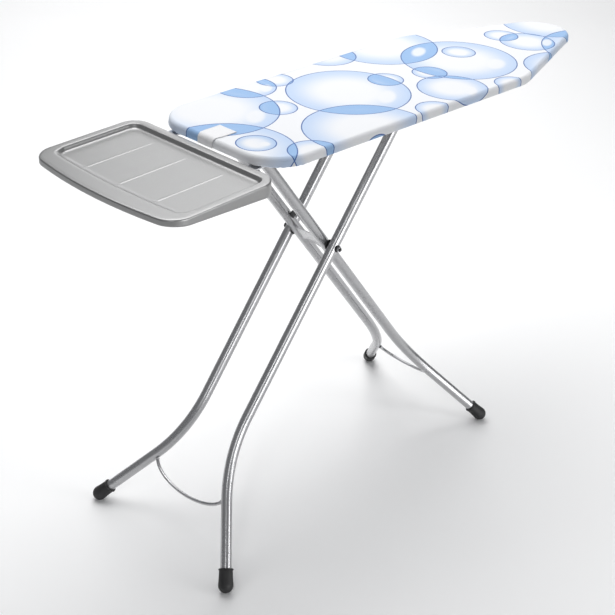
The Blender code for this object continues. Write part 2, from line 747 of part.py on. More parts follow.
def make_outer_frame(parent):
    for side, hand in ((1, "left"), (-1, "right")):
        make_leg("outer", hand, -1, side, OUTER_HALF, OUTER_FOOT_HALF, parent)
        make_roller(side, hand, parent)
    make_stretcher("outer", -1, OUTER_HALF, OUTER_FOOT_HALF, OUTER_WIRE, parent)
    reach = RAIL_HALF - RAIL_WALL - GAP * 4
    start = at(SLIDE_U, -reach, ROD_HEIGHT)
    rod = ((0.0, ROD_RADIUS), (2 * reach, ROD_RADIUS))
    turned("outer_top_rod", start, Vector((0, 1, 0)), rod, "silver_paint", parent)
    make_pivot(parent)


def make_roller(side, hand, parent):
    """Nylon roller on the rod's end, which runs in the rail."""
    low = side * (RAIL_HALF - RAIL_DEPTH + 0.0015)
    width = RAIL_DEPTH - 0.0015 - RAIL_WALL - GAP
    base = at(SLIDE_U, low, ROD_HEIGHT)
    radius = RAIL_INSIDE / 2 - ROLLER_CLEARANCE
    across = Vector((0, side, 0))
    bored(f"slide_roller_{hand}", base, across, width, radius, ROD_RADIUS + GAP, "nylon", parent, sides=24)


def make_pivot(parent):
    """The scissor's bolt, with its head, washer, nut and the spacers between the legs."""
    wall = OUTER_HALF + TUBE_RADIUS + GAP
    across = Vector((0, 1, 0))
    washer_low = -wall - WASHER_THICK
    nut_thick = 0.0060
    tip = washer_low - GAP - nut_thick - 0.0022
    shank = wall - tip
    profile = [(0.0, BOLT_RADIUS * 0.8), (0.0008, BOLT_RADIUS), (shank, BOLT_RADIUS), (shank, HEAD_RADIUS)]
    for angle in (15, 40, 65):
        turn = math.radians(angle)
        profile.append((shank + 0.002 + 0.005 * math.sin(turn), HEAD_RADIUS * math.cos(turn)))
    turned("pivot_bolt", at(PIVOT_U, tip, PIVOT_HEIGHT), across, profile, "black_plastic", parent)
    base = at(PIVOT_U, washer_low, PIVOT_HEIGHT)
    bore = BOLT_RADIUS + BOLT_CLEARANCE
    bored("pivot_washer", base, across, WASHER_THICK, WASHER_RADIUS, bore, "black_plastic", parent)
    base = at(PIVOT_U, washer_low - GAP - nut_thick, PIVOT_HEIGHT)
    make_nut(base, nut_thick, bore, parent)
    for side, hand in ((1, "left"), (-1, "right")):
        middle = side * (OUTER_HALF + INNER_HALF) / 2
        base = at(PIVOT_U, middle - SPACER_THICK / 2, PIVOT_HEIGHT)
        name = f"pivot_spacer_{hand}"
        bored(name, base, across, SPACER_THICK, SPACER_RADIUS, bore, "black_plastic", parent)


def make_nut(base, thick, bore, parent):
    """Hexagon nut, its corners eased by a smaller end ring."""
    first, second = Vector((1, 0, 0)), Vector((0, 0, 1))
    across = Vector((0, 1, 0))
    rings = []
    eased = NUT_RADIUS * 0.86
    profile = ((0.0008, NUT_RADIUS), (thick, NUT_RADIUS), (thick, bore), (0.0, bore), (0.0, eased))
    for along, radius in profile:
        ring = []
        for i in range(18):
            angle = 2 * math.pi * i / 18
            shape = 1.0
            if radius > bore:
                shape = math.cos(math.pi / 6) / math.cos((angle % (math.pi / 3)) - math.pi / 6)
            spoke = math.cos(angle) * first + math.sin(angle) * second
            ring.append(base + across * along + radius * shape * spoke)
        rings.append(ring)
    loft("pivot_nut", rings, "chrome", parent, closed=True)


def make_inner_frame(parent):
    for side, hand in ((1, "left"), (-1, "right")):
        make_leg("inner", hand, 1, side, INNER_HALF, INNER_FOOT_HALF, parent)
    make_stretcher("inner", 1, INNER_HALF, INNER_FOOT_HALF, INNER_WIRE, parent)
    reach = BRACKET_HALF + BRACKET_THICK / 2 + 0.004
    start = at(HINGE_U, -reach, ROD_HEIGHT)
    rod = ((0.0, ROD_RADIUS), (2 * reach, ROD_RADIUS))
    turned("inner_top_rod", start, Vector((0, 1, 0)), rod, "silver_paint", parent)
    make_pivot_plate(parent)
    make_rod_clip(parent)


def make_pivot_plate(parent):
    """Pressed plate welded between the inner legs over the pivot, its lower edge hollowed."""
    reach = INNER_HALF - TUBE_RADIUS - GAP
    top, low, hollow = -0.042, 0.013, 0.011
    steps = 8
    outline = [(top, -reach), (top, reach)]
    for k in range(steps + 1):
        t = 1 - 2 * k / steps
        outline.append((low - hollow * (1 - t * t), t * reach))
    near = -(BOLT_RADIUS + 0.003)
    rings = []
    for off in (near, near - 0.002):
        rings.append([leg_point(1, s, y, off) for s, y in outline])
    loft("pivot_plate", rings, "silver_paint", parent)


def make_rod_clip(parent):
    """Small plastic clip on the inner side of the left inner leg, standing ahead of it."""
    wall = INNER_HALF - TUBE_RADIUS - GAP
    outline = ((-0.080, 0.001), (-0.062, 0.001), (-0.064, 0.0135), (-0.078, 0.0135))
    rings = []
    for y in (wall - 0.005, wall):
        rings.append([leg_point(1, s, y, off) for s, off in outline])
    loft("leg_clip", rings, "black_plastic", parent)


# ---------------------------------------------------------------- height lever
def make_lever(parent):
    """Flat lever on a pin beside the right rail, with a catch over the slide's path."""
    half, tall = LEVER_THICK / 2, LEVER_TALL / 2
    bend, straight = LEVER_CRANK
    line = [
        (LEVER_PIN_U + 0.012, -LEVER_HALF), (LEVER_PIN_U - bend, -LEVER_HALF),
        (LEVER_PIN_U - straight, -LEVER_HANDLE_HALF), (LEVER_HANDLE_U, -LEVER_HANDLE_HALF),
    ]
    outline = [(u, y + half) for u, y in line] + [(u, y - half) for u, y in reversed(line)]
    rings = [[at(u, y, z) for u, y in outline] for z in (LEVER_HEIGHT - tall, LEVER_HEIGHT + tall)]
    bar = loft("release_lever", rings, "galvanised", parent)
    start = at(LEVER_PIN_U, -LEVER_HALF - 0.01, LEVER_HEIGHT)
    drill(bar, "lever_hole", start, Vector((0, 1, 0)), 0.02, LEVER_PIN_RADIUS + GAP)
    make_grip(parent)
    make_catch(parent)


def make_grip(parent):
    """Plastic sleeve over the lever's handle end."""
    half, tall = LEVER_THICK / 2 + GAP, LEVER_TALL / 2 + GAP
    wall = GRIP_WALL
    end = LEVER_HANDLE_U - GAP
    start = end + GRIP_LENGTH
    sections = (
        (end, half, tall), (start, half, tall), (start, half + wall, tall + wall),
        (end - 0.006, half + wall, tall + wall), (end - 0.010, half, tall),
    )
    rings = []
    for u, a, b in sections:
        corners = ((-a, -b), (a, -b), (a, b), (-a, b))
        rings.append([at(u, -LEVER_HANDLE_HALF + y, LEVER_HEIGHT + z) for y, z in corners])
    loft("lever_grip", rings, "black_plastic", parent)


def make_catch(parent):
    """Bar from the lever over the rail, turned down ahead of the slide's rod."""
    top = ROD_HEIGHT + RAIL_INSIDE / 2 + RAIL_WALL + TOOTH_CLEARANCE
    thick = CATCH_THICK
    low = ROD_HEIGHT + ROD_RADIUS + TOOTH_CLEARANCE
    foot = LEVER_HEIGHT - 0.003
    wall = LEVER_HALF - LEVER_THICK / 2 - GAP
    tip = CATCH_REACH
    outline = [
        (-wall, foot), (-wall, top + thick), (-tip, top + thick), (-tip, low),
        (-tip - thick, low), (-tip - thick, top), (-wall + thick, top), (-wall + thick, foot),
    ]
    middle = SLIDE_U + CATCH_AHEAD
    ends = (middle - CATCH_WIDTH / 2, middle + CATCH_WIDTH / 2)
    rings = [[at(u, y, z) for y, z in outline] for u in ends]
    loft("lever_catch", rings, "galvanised", parent)


def make_lever_pin():
    """Shouldered pin on the rail's web, and the torsion spring round it."""
    across = Vector((0, -1, 0))
    start = at(LEVER_PIN_U, -(RAIL_HALF + GAP), LEVER_HEIGHT)
    end = LEVER_HALF + LEVER_THICK / 2 + GAP - RAIL_HALF - GAP
    head = 0.0052
    profile = (
        (0.0, LEVER_PIN_RADIUS), (end, LEVER_PIN_RADIUS), (end, head), (end + 0.002, head),
        (end + 0.0026, 0.0040),
    )
    turned("lever_pin", start, across, profile, "galvanised", sides=12)
    turns, coil, wire, sides = 3, 0.0048, 0.0007, 6
    begin = RAIL_HALF + 0.0016
    length = LEVER_HALF - LEVER_THICK / 2 - 0.0016 - begin
    steps = 12 * turns
    rings = []
    for k in range(steps + 1):
        angle = 2 * math.pi * turns * k / steps
        radial = Vector((math.cos(angle), 0.0, math.sin(angle)))
        centre = at(LEVER_PIN_U, -(begin + length * k / steps), LEVER_HEIGHT) + radial * coil
        rings.append(ring_at(centre, radial, Vector((0, 1, 0)), wire, sides))
    loft("lever_spring", rings, "galvanised")


# ---------------------------------------------------------------- the whole board
def make_board():
    make_cover()
    make_pad()
    make_mesh_top()
    make_rim()
    make_brace("rear_brace", REAR_BRACE)
    make_brace("mid_brace", MID_BRACE)
    make_brace("front_brace", FRONT_BRACE)
    make_height_rack()
    make_tag()
    make_tray()
    make_lever_pin()
    for side, hand in ((1, "left"), (-1, "right")):
        make_hinge_bracket(side, hand)
        make_slide_rail(side, hand)
        make_strap(side, hand)


clear_scene()
make_board()
make_inner_frame(pivot_frame("inner_frame_hinge", HINGE_U, ROD_HEIGHT))
make_outer_frame(pivot_frame("scissor_pivot", PIVOT_U, PIVOT_HEIGHT))
make_lever(pivot_frame("lever_pivot", LEVER_PIN_U, LEVER_HEIGHT))
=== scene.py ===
# %% [markdown]
# # A folding ironing board with a steel rest tray
# The measured model arrives as a fixed frame: every strap, rail and tube already lies in its true
# place. This lesson dresses it. Pieces whose shape is right keep their own mesh and only get a
# finish. Cloth, pressed sheet and round tube are modelled again, finely, in the same places.

# %% Load the frame
import math

import bmesh
import bpy
import numpy as np
from mathutils import Matrix, Vector, geometry, noise


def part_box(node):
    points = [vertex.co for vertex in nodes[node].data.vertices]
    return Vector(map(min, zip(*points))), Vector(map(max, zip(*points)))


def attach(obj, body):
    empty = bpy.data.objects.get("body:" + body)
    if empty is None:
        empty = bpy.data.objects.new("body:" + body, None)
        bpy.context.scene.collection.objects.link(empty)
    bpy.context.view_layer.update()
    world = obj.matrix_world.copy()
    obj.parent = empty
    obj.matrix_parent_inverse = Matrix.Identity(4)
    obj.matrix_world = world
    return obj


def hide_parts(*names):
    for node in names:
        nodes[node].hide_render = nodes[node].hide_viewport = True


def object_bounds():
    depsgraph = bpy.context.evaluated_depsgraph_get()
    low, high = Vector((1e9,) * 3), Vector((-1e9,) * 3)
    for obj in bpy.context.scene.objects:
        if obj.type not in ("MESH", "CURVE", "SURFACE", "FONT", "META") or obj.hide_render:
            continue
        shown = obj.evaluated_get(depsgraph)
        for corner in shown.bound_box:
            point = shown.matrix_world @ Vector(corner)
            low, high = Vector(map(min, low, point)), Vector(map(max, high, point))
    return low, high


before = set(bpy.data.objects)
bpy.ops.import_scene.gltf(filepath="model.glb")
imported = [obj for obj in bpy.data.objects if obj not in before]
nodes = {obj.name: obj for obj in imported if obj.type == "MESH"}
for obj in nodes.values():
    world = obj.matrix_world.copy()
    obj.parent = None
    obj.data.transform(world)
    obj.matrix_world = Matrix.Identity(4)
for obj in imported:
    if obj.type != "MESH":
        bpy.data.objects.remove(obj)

cad_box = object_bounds()
print("CAD box", [round(v, 4) for corner in cad_box for v in corner])

# %% [markdown]
# ## The camera
# It stands high and to the left of the tray, and looks down along the board. Its three axes are
# worked out from an azimuth, an elevation and a small roll, which is easier to read and to change
# than a rotation matrix. The shift keeps the object where it belongs in the frame.

# %% Camera
EYE = Vector((-2.0185, -1.766, 1.911))
AZIMUTH, ELEVATION, ROLL = (math.radians(a) for a in (-47.76, 29.21, 2.63))


def camera_axes():
    back = Vector((
        math.sin(AZIMUTH) * math.cos(ELEVATION),
        -math.cos(AZIMUTH) * math.cos(ELEVATION),
        math.sin(ELEVATION),
    ))
    level = Vector((0, 0, 1)).cross(back).normalized()
    upright = back.cross(level)
    right = math.cos(ROLL) * level + math.sin(ROLL) * upright
    return right, back.cross(right), back


right, up, back = camera_axes()
camera = bpy.data.objects.new("camera", bpy.data.cameras.new("camera"))
bpy.context.scene.collection.objects.link(camera)
bpy.context.scene.camera = camera
camera.matrix_world = Matrix.Translation(EYE) @ Matrix((right, up, back)).transposed().to_4x4()
camera.data.lens = 72.92
camera.data.shift_x, camera.data.shift_y = -0.0385, -0.0169
print("camera at", [round(v, 3) for v in EYE])

# %% [markdown]
# ## Floor and light
# Painted tube is only as good as what it mirrors. A white floor, a grey room and a few large soft
# lamps give each tube a bright line, a dark line and a soft edge, as in a studio. The lamp over
# the far floor isn't mirrored in anything. The one named leg_line is only seen in the metal.

# %% Lights
def soft_lamp(name, place, aim, size, power):
    lamp = bpy.data.objects.new(name, bpy.data.lights.new(name, "AREA"))
    lamp.data.shape = "RECTANGLE"
    lamp.data.size, lamp.data.size_y = size
    lamp.data.energy = power
    lamp.location = place
    lamp.rotation_euler = (Vector(aim) - Vector(place)).to_track_quat("-Z", "Y").to_euler()
    bpy.context.scene.collection.objects.link(lamp)
    return lamp


CENTRE = (0.0, 0.0, 0.6)
soft_lamp("overhead", (0.3, 0.9, 3.4), CENTRE, (3.0, 2.4), 84)
soft_lamp("front_left", (-3.4, -2.0, 3.0), CENTRE, (0.6, 2.2), 20)
soft_lamp("front_right", (1.6, -3.4, 1.6), CENTRE, (0.9, 2.4), 30)
soft_lamp("behind", (2.6, 3.0, 2.4), CENTRE, (2.4, 1.2), 20)
far_lamp = soft_lamp("far_floor", (4.6, 5.8, 4.2), (4.6, 5.6, 0.0), (6.0, 6.0), 260)
far_lamp.visible_glossy = False
leg_line = soft_lamp("leg_line", (-0.5, -4.0, 1.0), CENTRE, (2.2, 2.0), 60)
leg_line.visible_diffuse = False

world = bpy.data.worlds.new("room")
bpy.context.scene.world = world
world.use_nodes = True
world.node_tree.nodes["Background"].inputs[0].default_value = (0.60, 0.61, 0.63, 1)
world.node_tree.nodes["Background"].inputs[1].default_value = 0.40
bpy.context.scene.view_settings.view_transform = "Standard"
print("six lamps and a grey room")

# %% [markdown]
# ## Small helpers for finishes
# A finish is a graph of nodes. One helper adds a node and joins its inputs, another does sums and
# a third blends two colours, so that each finish below reads as a short recipe.

# %% Node helpers
def node(tree, kind, feeds=(), named=None, **settings):
    made = tree.nodes.new("ShaderNode" + kind)
    for key, value in settings.items():
        setattr(made, key, value)
    for key, value in list(enumerate(feeds)) + list((named or {}).items()):
        if isinstance(value, bpy.types.NodeSocket):
            tree.links.new(value, made.inputs[key])
        elif value is not None:
            made.inputs[key].default_value = value
    return made


def calc(tree, operation, *feeds):
    return node(tree, "Math", feeds, operation=operation).outputs[0]


def ramp(tree, value, low, high, start=0.0, end=1.0, smooth=True):
    kind = "SMOOTHSTEP" if smooth else "LINEAR"
    return node(tree, "MapRange", (value, low, high, start, end), interpolation_type=kind).outputs[0]


def blend_colours(tree, share, first, second):
    made = node(tree, "Mix", data_type="RGBA")
    for index, value in ((0, share), (6, first), (7, second)):
        if isinstance(value, bpy.types.NodeSocket):
            tree.links.new(value, made.inputs[index])
        else:
            made.inputs[index].default_value = value if index == 0 else (*value, 1)
    return made.outputs[2]


def new_finish(name, roughness, metallic):
    made = bpy.data.materials.new(name)
    made.use_nodes = True
    tree = made.node_tree
    shader = tree.nodes["Principled BSDF"]
    shader.inputs["Roughness"].default_value = roughness
    shader.inputs["Metallic"].default_value = metallic
    place = node(tree, "TexCoord").outputs["Object"]
    return made, tree, shader, place


def grain(tree, place, scale, detail=3.0):
    named = {"Vector": place, "Scale": scale, "Detail": detail}
    return node(tree, "TexNoise", named=named).outputs[0]


def relief(tree, shader, height, depth, strength=0.5):
    named = {"Strength": strength, "Distance": depth, "Height": height}
    bump = node(tree, "Bump", named=named)
    tree.links.new(bump.outputs[0], shader.inputs["Normal"])


def feed(tree, shader, **sockets):
    for name, socket in sockets.items():
        tree.links.new(socket, shader.inputs[name.replace("_", " ")])


print("helpers ready")

# %% [markdown]
# ## Floor finish
# A plain white floor with the faintest unevenness, so that shadows fall softly.

# %% Floor
def floor_finish():
    made, tree, shader, place = new_finish("studio_floor", 0.7, 0.0)
    cloud = grain(tree, place, 1.2)
    feed(tree, shader, Base_Color=blend_colours(tree, cloud, (0.97, 0.97, 0.97), (0.99, 0.99, 0.99)))
    return made


bm = bmesh.new()
bmesh.ops.create_grid(bm, x_segments=1, y_segments=1, size=30)
data = bpy.data.meshes.new("floor")
bm.to_mesh(data)
bm.free()
data.materials.append(floor_finish())
floor = bpy.data.objects.new("floor", data)
floor.location.z = cad_box[0].z - 0.0002
bpy.context.scene.collection.objects.link(floor)
print("floor at", round(floor.location.z, 4))

# %% [markdown]
# ## Silver powder paint on the legs
# The tubes, wires and rods are steel with a metallic powder coat. The coat is a little uneven,
# like orange peel, and holds fine metal flakes. Slow noise moves the roughness, fast noise moves
# the colour, and a shallow bump gives the peel.

# %% Metal paints
def metal_paint(name, dark, light, roughness, metallic, peel=0.00002, flake=1400.0):
    made, tree, shader, place = new_finish(name, roughness, metallic)
    flakes = ramp(tree, grain(tree, place, flake, 1.0), 0.35, 0.65)
    clouds = grain(tree, place, 14.0)
    base = blend_colours(tree, flakes, dark, light)
    shade = ramp(tree, clouds, 0.3, 0.7, 0.0, 0.3)
    feed(tree, shader, Base_Color=blend_colours(tree, shade, base, dark))
    feed(tree, shader, Roughness=ramp(tree, clouds, 0.3, 0.7, roughness - 0.015, roughness + 0.015))
    relief(tree, shader, grain(tree, place, 900.0, 1.0), peel, 0.15)
    return made


silver_paint = metal_paint("silver_paint_coat", (0.46, 0.46, 0.47), (0.50, 0.50, 0.51), 0.27, 0.90)
tray_paint = metal_paint("tray_paint_coat", (0.30, 0.30, 0.30), (0.34, 0.34, 0.34), 0.37, 0.82)
print("two metal paints")

# %% [markdown]
# ## Zinc on the hidden steel
# Rails, straps and the lever are zinc plated. Zinc freezes in crystals, each of which shines
# differently: a Voronoi texture has just that look.

# %% Zinc, chrome
def zinc_plate():
    made, tree, shader, place = new_finish("zinc_plate", 0.4, 1.0)
    crystals = node(tree, "TexVoronoi", named={"Vector": place, "Scale": 160.0})
    tone = node(tree, "SeparateColor", (crystals.outputs["Color"],)).outputs[0]
    base = blend_colours(tree, tone, (0.50, 0.51, 0.53), (0.66, 0.67, 0.69))
    dust = ramp(tree, grain(tree, place, 35.0), 0.5, 0.8, 0.0, 0.35)
    feed(tree, shader, Base_Color=blend_colours(tree, dust, base, (0.40, 0.40, 0.41)))
    feed(tree, shader, Roughness=ramp(tree, tone, 0.0, 1.0, 0.30, 0.48, smooth=False))
    relief(tree, shader, grain(tree, place, 700.0), 0.00003, 0.3)
    return made


zinc = zinc_plate()
chrome = metal_paint("bright_chrome", (0.74, 0.74, 0.76), (0.80, 0.80, 0.82), 0.13, 1.0, peel=0.00001)
print("zinc and chrome")

# %% [markdown]
# ## Rubber, plastic and nylon
# The foot caps are matt rubber, scuffed grey where they meet the floor. The clip, washers, bolt
# head and grip are moulded plastic with a fine spark-eroded grain. The rollers are milky nylon.

# %% Rubber, plastic, nylon
def moulded(name, colour, worn, roughness, grain_scale, grain_depth, wear_height=None):
    made, tree, shader, place = new_finish(name, roughness, 0.0)
    mottle = ramp(tree, grain(tree, place, 60.0), 0.35, 0.7, 0.0, 0.3)
    if wear_height:
        height = node(tree, "SeparateXYZ", (place,)).outputs[2]
        low = ramp(tree, height, 0.0, wear_height, 1.0, 0.0)
        mottle = calc(tree, "MAXIMUM", mottle, calc(tree, "MULTIPLY", low, grain(tree, place, 240.0)))
    feed(tree, shader, Base_Color=blend_colours(tree, mottle, colour, worn))
    feed(tree, shader, Roughness=ramp(tree, mottle, 0.0, 1.0, roughness, roughness + 0.2))
    relief(tree, shader, grain(tree, place, grain_scale), grain_depth, 0.4)
    return made


cap_rubber = moulded("cap_rubber", (0.012, 0.012, 0.013), (0.05, 0.05, 0.05), 0.55, 500, 0.00008, 0.006)
black_plastic = moulded("moulded_plastic", (0.015, 0.015, 0.017), (0.03, 0.03, 0.032), 0.36, 900, 0.00005)
nylon = moulded("milky_nylon", (0.82, 0.81, 0.77), (0.70, 0.69, 0.64), 0.42, 400, 0.00004)
print("rubber, plastic and nylon")

# %% [markdown]
# ## Finishes for the pieces that stay
# These pieces keep their measured mesh, so each only has its finish changed.

# %% Dress the kept pieces
KEPT = {
    "top_rim": silver_paint, "top_mesh": silver_paint, "rear_brace": silver_paint,
    "mid_brace": silver_paint, "front_brace": silver_paint,
    "hinge_bracket_left": zinc, "hinge_bracket_right": zinc, "slide_rail_left": zinc,
    "slide_rail_right": zinc, "height_rack": zinc, "tray_strap_left": zinc,
    "tray_strap_right": zinc, "tray_screw_left_1": zinc, "tray_screw_left_2": zinc,
    "tray_screw_right_1": zinc, "tray_screw_right_2": zinc, "lever_pin": zinc,
    "lever_spring": zinc, "release_lever": zinc, "lever_catch": zinc,
    "lever_grip": black_plastic, "slide_roller_left": nylon, "slide_roller_right": nylon,
}
for name, finish in KEPT.items():
    for held in nodes[name].material_slots:
        held.material = finish
print(len(KEPT), "pieces dressed as they are")

# %% [markdown]
# ## Shared measures
# All of it is in metres. A place along the board is measured from the rear edge of the cover
# towards the nose, and `at` turns it into the frame's coordinates. The heights come from the
# frame's own boxes, so that the new pieces sit where the old ones did.

# %% Measures and placing
GAP = 0.0003
low_cover, high_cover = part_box("cover")
MIDDLE = -low_cover.x
BOARD_LENGTH = high_cover.x - low_cover.x
TOP = high_cover.z
SIDE = TOP - low_cover.z
REAR_WIDTH, SHOULDER_WIDTH, SHOULDER_U = 0.373, 0.397, 0.819
NOSE_RADIUS, SHOULDER_RADIUS, REAR_RADIUS = 0.0825, 0.16, 0.094


def at(u, y, z):
    return Vector((u - MIDDLE, y, z))


def link_piece(name, bm, finish, body, replaced=(), sharp=38.0):
    """Turns a bmesh into a smooth-shaded piece that rides on its body."""
    bmesh.ops.recalc_face_normals(bm, faces=bm.faces)
    data = bpy.data.meshes.new(name)
    bm.to_mesh(data)
    bm.free()
    data.shade_smooth()
    data.set_sharp_from_angle(angle=math.radians(sharp))
    data.materials.append(finish)
    piece = bpy.data.objects.new(name, data)
    bpy.context.scene.collection.objects.link(piece)
    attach(piece, body)
    if replaced:
        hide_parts(*replaced)
    return piece


print("board", round(BOARD_LENGTH, 4), "long, top at", round(TOP, 4))

# %% [markdown]
# ## The board's outline
# In plan the board is five straight or nearly straight sides with rounded corners. The outline
# can be moved inwards or outwards, and always has the same number of points in the same order,
# so two of them can be joined by a band of quads.

# %% Outline in plan
STEP = 0.006


def rounded(corners, inset):
    """Counter-clockwise outline with evenly spaced points: corners are (u, y, radius)."""
    points = [Vector((u, y)) for u, y, _ in corners]
    count = len(points)
    sides = []
    for i in range(count):
        along = (points[(i + 1) % count] - points[i]).normalized()
        sides.append((points[i], along, Vector((-along.y, along.x))))
    arcs = []
    for i in range(count):
        (_, before, left), (point, after, turned_left) = sides[i - 1], sides[i]
        turn = before.angle(after)
        reach = corners[i][2] * math.tan(turn / 2)
        centre = point - before * reach + left * corners[i][2]
        start = math.atan2(-before.x, before.y)
        steps = max(4, round(corners[i][2] * turn / STEP))
        radius = corners[i][2] - inset
        arcs.append([
            centre + radius * Vector((math.cos(a), math.sin(a)))
            for a in (start + turn * k / steps for k in range(steps + 1))
        ])
    outline = []
    for i in range(count):
        here, following = arcs[i], arcs[(i + 1) % count]
        outline += here
        gap = (following[0] - here[-1]).length
        parts = max(2, round(gap / STEP))
        outline += [here[-1].lerp(following[0], k / parts) for k in range(1, parts)]
    return np.array([tuple(p) for p in outline])


def board_outline(inset=0.0):
    rear, shoulder = REAR_WIDTH / 2, SHOULDER_WIDTH / 2
    centre_u = BOARD_LENGTH - NOSE_RADIUS
    reach = math.hypot(centre_u - SHOULDER_U, shoulder)
    slope = math.atan2(shoulder, centre_u - SHOULDER_U) - math.asin(NOSE_RADIUS / reach)
    tip_u = SHOULDER_U + shoulder / math.tan(slope)
    corners = [
        (0.0, -rear, REAR_RADIUS), (SHOULDER_U, -shoulder, SHOULDER_RADIUS),
        (tip_u, 0.0, NOSE_RADIUS), (SHOULDER_U, shoulder, SHOULDER_RADIUS), (0.0, rear, REAR_RADIUS),
    ]
    return rounded(corners, inset)


print(len(board_outline()), "points round the board")

# %% [markdown]
# ## Filling an outline
# The top is flat in the middle, but cloth needs vertices to move. A Delaunay triangulation joins
# the rim's points with a honeycomb of points inside it, which gives even triangles everywhere.

# %% Filling the middle
HONEYCOMB = 0.011
ROW_SHARE = 0.866


def honeycomb_inside(outline, clear):
    """Points of an even honeycomb that are at least `clear` inside a convex outline."""
    low, high = outline.min(0), outline.max(0)
    following = np.roll(outline, -1, axis=0)
    along = following - outline
    keep = np.linalg.norm(along, axis=1) > 1e-7
    along = along[keep] / np.linalg.norm(along[keep], axis=1)[:, None]
    normals = np.stack([-along[:, 1], along[:, 0]], 1)
    found = []
    rows = int((high[1] - low[1]) / (HONEYCOMB * ROW_SHARE)) + 1
    for row in range(rows):
        y = low[1] + row * HONEYCOMB * ROW_SHARE
        us = np.arange(low[0] + (row % 2) * HONEYCOMB / 2, high[0], HONEYCOMB)
        line = np.stack([us, np.full(len(us), y)], 1)
        depth = ((line[:, None, :] - outline[keep][None]) * normals[None]).sum(2).min(1)
        found.append(line[depth > clear])
    return np.concatenate(found)


def filled(outline):
    """(points, triangles) for the inside of an outline; its own points come first."""
    points = np.concatenate([outline, honeycomb_inside(outline, HONEYCOMB * 0.55)])
    count = len(outline)
    edges = [(i, (i + 1) % count) for i in range(count)]
    made = geometry.delaunay_2d_cdt([Vector(p) for p in points], edges, [], 1, 1e-6, True)
    sources = [group[0] for group in made[3]]
    return points, [[sources[i] for i in face] for face in made[2]]


print(len(filled(board_outline(0.006))[0]), "points on the top")

# %% [markdown]
# ## The printed cotton
# The cover is thin white cotton printed with blue soap bubbles. Each bubble is a circle: a fine
# line round it, a blue that fades inwards from the line, and a deeper blue wherever two bubbles
# overlap. That is arithmetic on a distance, so it needs no picture. The print is laid out on the
# flat cloth, before it is folded over the edge, and a UV map carries the flat places in metres.

# %% Bubble layout, in millimetres on the flat cloth
BUBBLES = (
    (106, 116, 147), (261, 174, 69), (343, 166, 43), (226, 33, 41), (-13, -67, 139), (113, -185, 54),
    (283, -176, 139), (415, 3, 140), (541, 3, 41), (558, 210, 73), (718, 171, 137), (785, -18, 140),
    (657, -32, 41), (617, -133, 81), (483, -193, 44), (751, -203, 42), (954, -220, 107),
    (1034, -41, 69), (1023, 33, 43), (1205, 20, 118), (1145, -203, 160), (295, -250, 50),
)
PEARLS = ((832, 20, 41), (53, -80, 41))
GLINTS = (
    (153, 27, 42, 22, 40), (457, -75, 45, 22, 35), (830, -95, 42, 25, 30), (634, -172, 30, 16, 40),
    (755, 84, 40, 18, 30), (290, 137, 26, 14, 40), (1067, -78, 32, 14, 30), (63, -95, 12, 12, 0),
    (825, 5, 12, 12, 0),
)
MM = 0.001
FADE_SHARE = 0.6
LINE = 0.0013

# %% The print as nodes
def bubble_masks(tree, flat, circles):
    """(how many bubbles cover a place, the strongest fade, the line) for some circles."""
    cover, fade, line = None, None, None
    for u, y, radius in circles:
        centre = (u * MM, y * MM, 0)
        distance = node(tree, "VectorMath", (flat, centre), operation="DISTANCE").outputs["Value"]
        edge = calc(tree, "SUBTRACT", distance, radius * MM)
        inside = calc(tree, "LESS_THAN", edge, 0.0)
        glow = calc(tree, "MULTIPLY", ramp(tree, edge, -FADE_SHARE * radius * MM, 0.0), inside)
        ring = calc(tree, "COMPARE", edge, 0.0, LINE)
        cover = inside if cover is None else calc(tree, "ADD", cover, inside)
        fade = glow if fade is None else calc(tree, "MAXIMUM", fade, glow)
        line = ring if line is None else calc(tree, "MAXIMUM", line, ring)
    return cover, fade, line


def glint_mask(tree, flat):
    """Soft white ovals, like a window mirrored in a bubble."""
    whole = None
    for u, y, long, short, turn in GLINTS:
        c, s = math.cos(math.radians(turn)), math.sin(math.radians(turn))
        away = node(tree, "VectorMath", (flat, (u * MM, y * MM, 0)), operation="SUBTRACT").outputs[0]
        axes = ((c, s, 0), long), ((-s, c, 0), short)
        parts = []
        for axis, half in axes:
            across = tuple(v / (half * MM) for v in axis)
            dot = node(tree, "VectorMath", (away, across), operation="DOT_PRODUCT").outputs["Value"]
            parts.append(calc(tree, "MULTIPLY", dot, dot))
        mask = ramp(tree, calc(tree, "ADD", *parts), 0.35, 1.2, 1.0, 0.0)
        whole = mask if whole is None else calc(tree, "MAXIMUM", whole, mask)
    return whole


print(len(BUBBLES) + len(PEARLS), "bubbles and", len(GLINTS), "glints")

# %% [markdown]
# The weave is two waves at right angles, a little over half a millimetre apart, which lift the
# surface a little. Cotton scatters light at a glancing angle, so the shader has some sheen.

# %% Printed cotton
PAPER_WHITE = (0.75, 0.76, 0.78)
RIM_BLUE = (0.38, 0.52, 0.75)
LENS_BLUE = (0.25, 0.42, 0.68)
LINE_BLUE = (0.035, 0.11, 0.34)
THREAD = 0.0006
WAVE_PERIOD = 0.314  # a wave texture of scale 1 repeats after this length


def weave(tree, flat, pitch):
    height = None
    for direction in ("X", "Y"):
        named = {"Vector": flat, "Scale": WAVE_PERIOD / pitch, "Distortion": 0.6, "Detail": 1.0}
        wave = node(tree, "TexWave", named=named, bands_direction=direction).outputs["Fac"]
        height = wave if height is None else calc(tree, "MULTIPLY", height, wave)
    return height


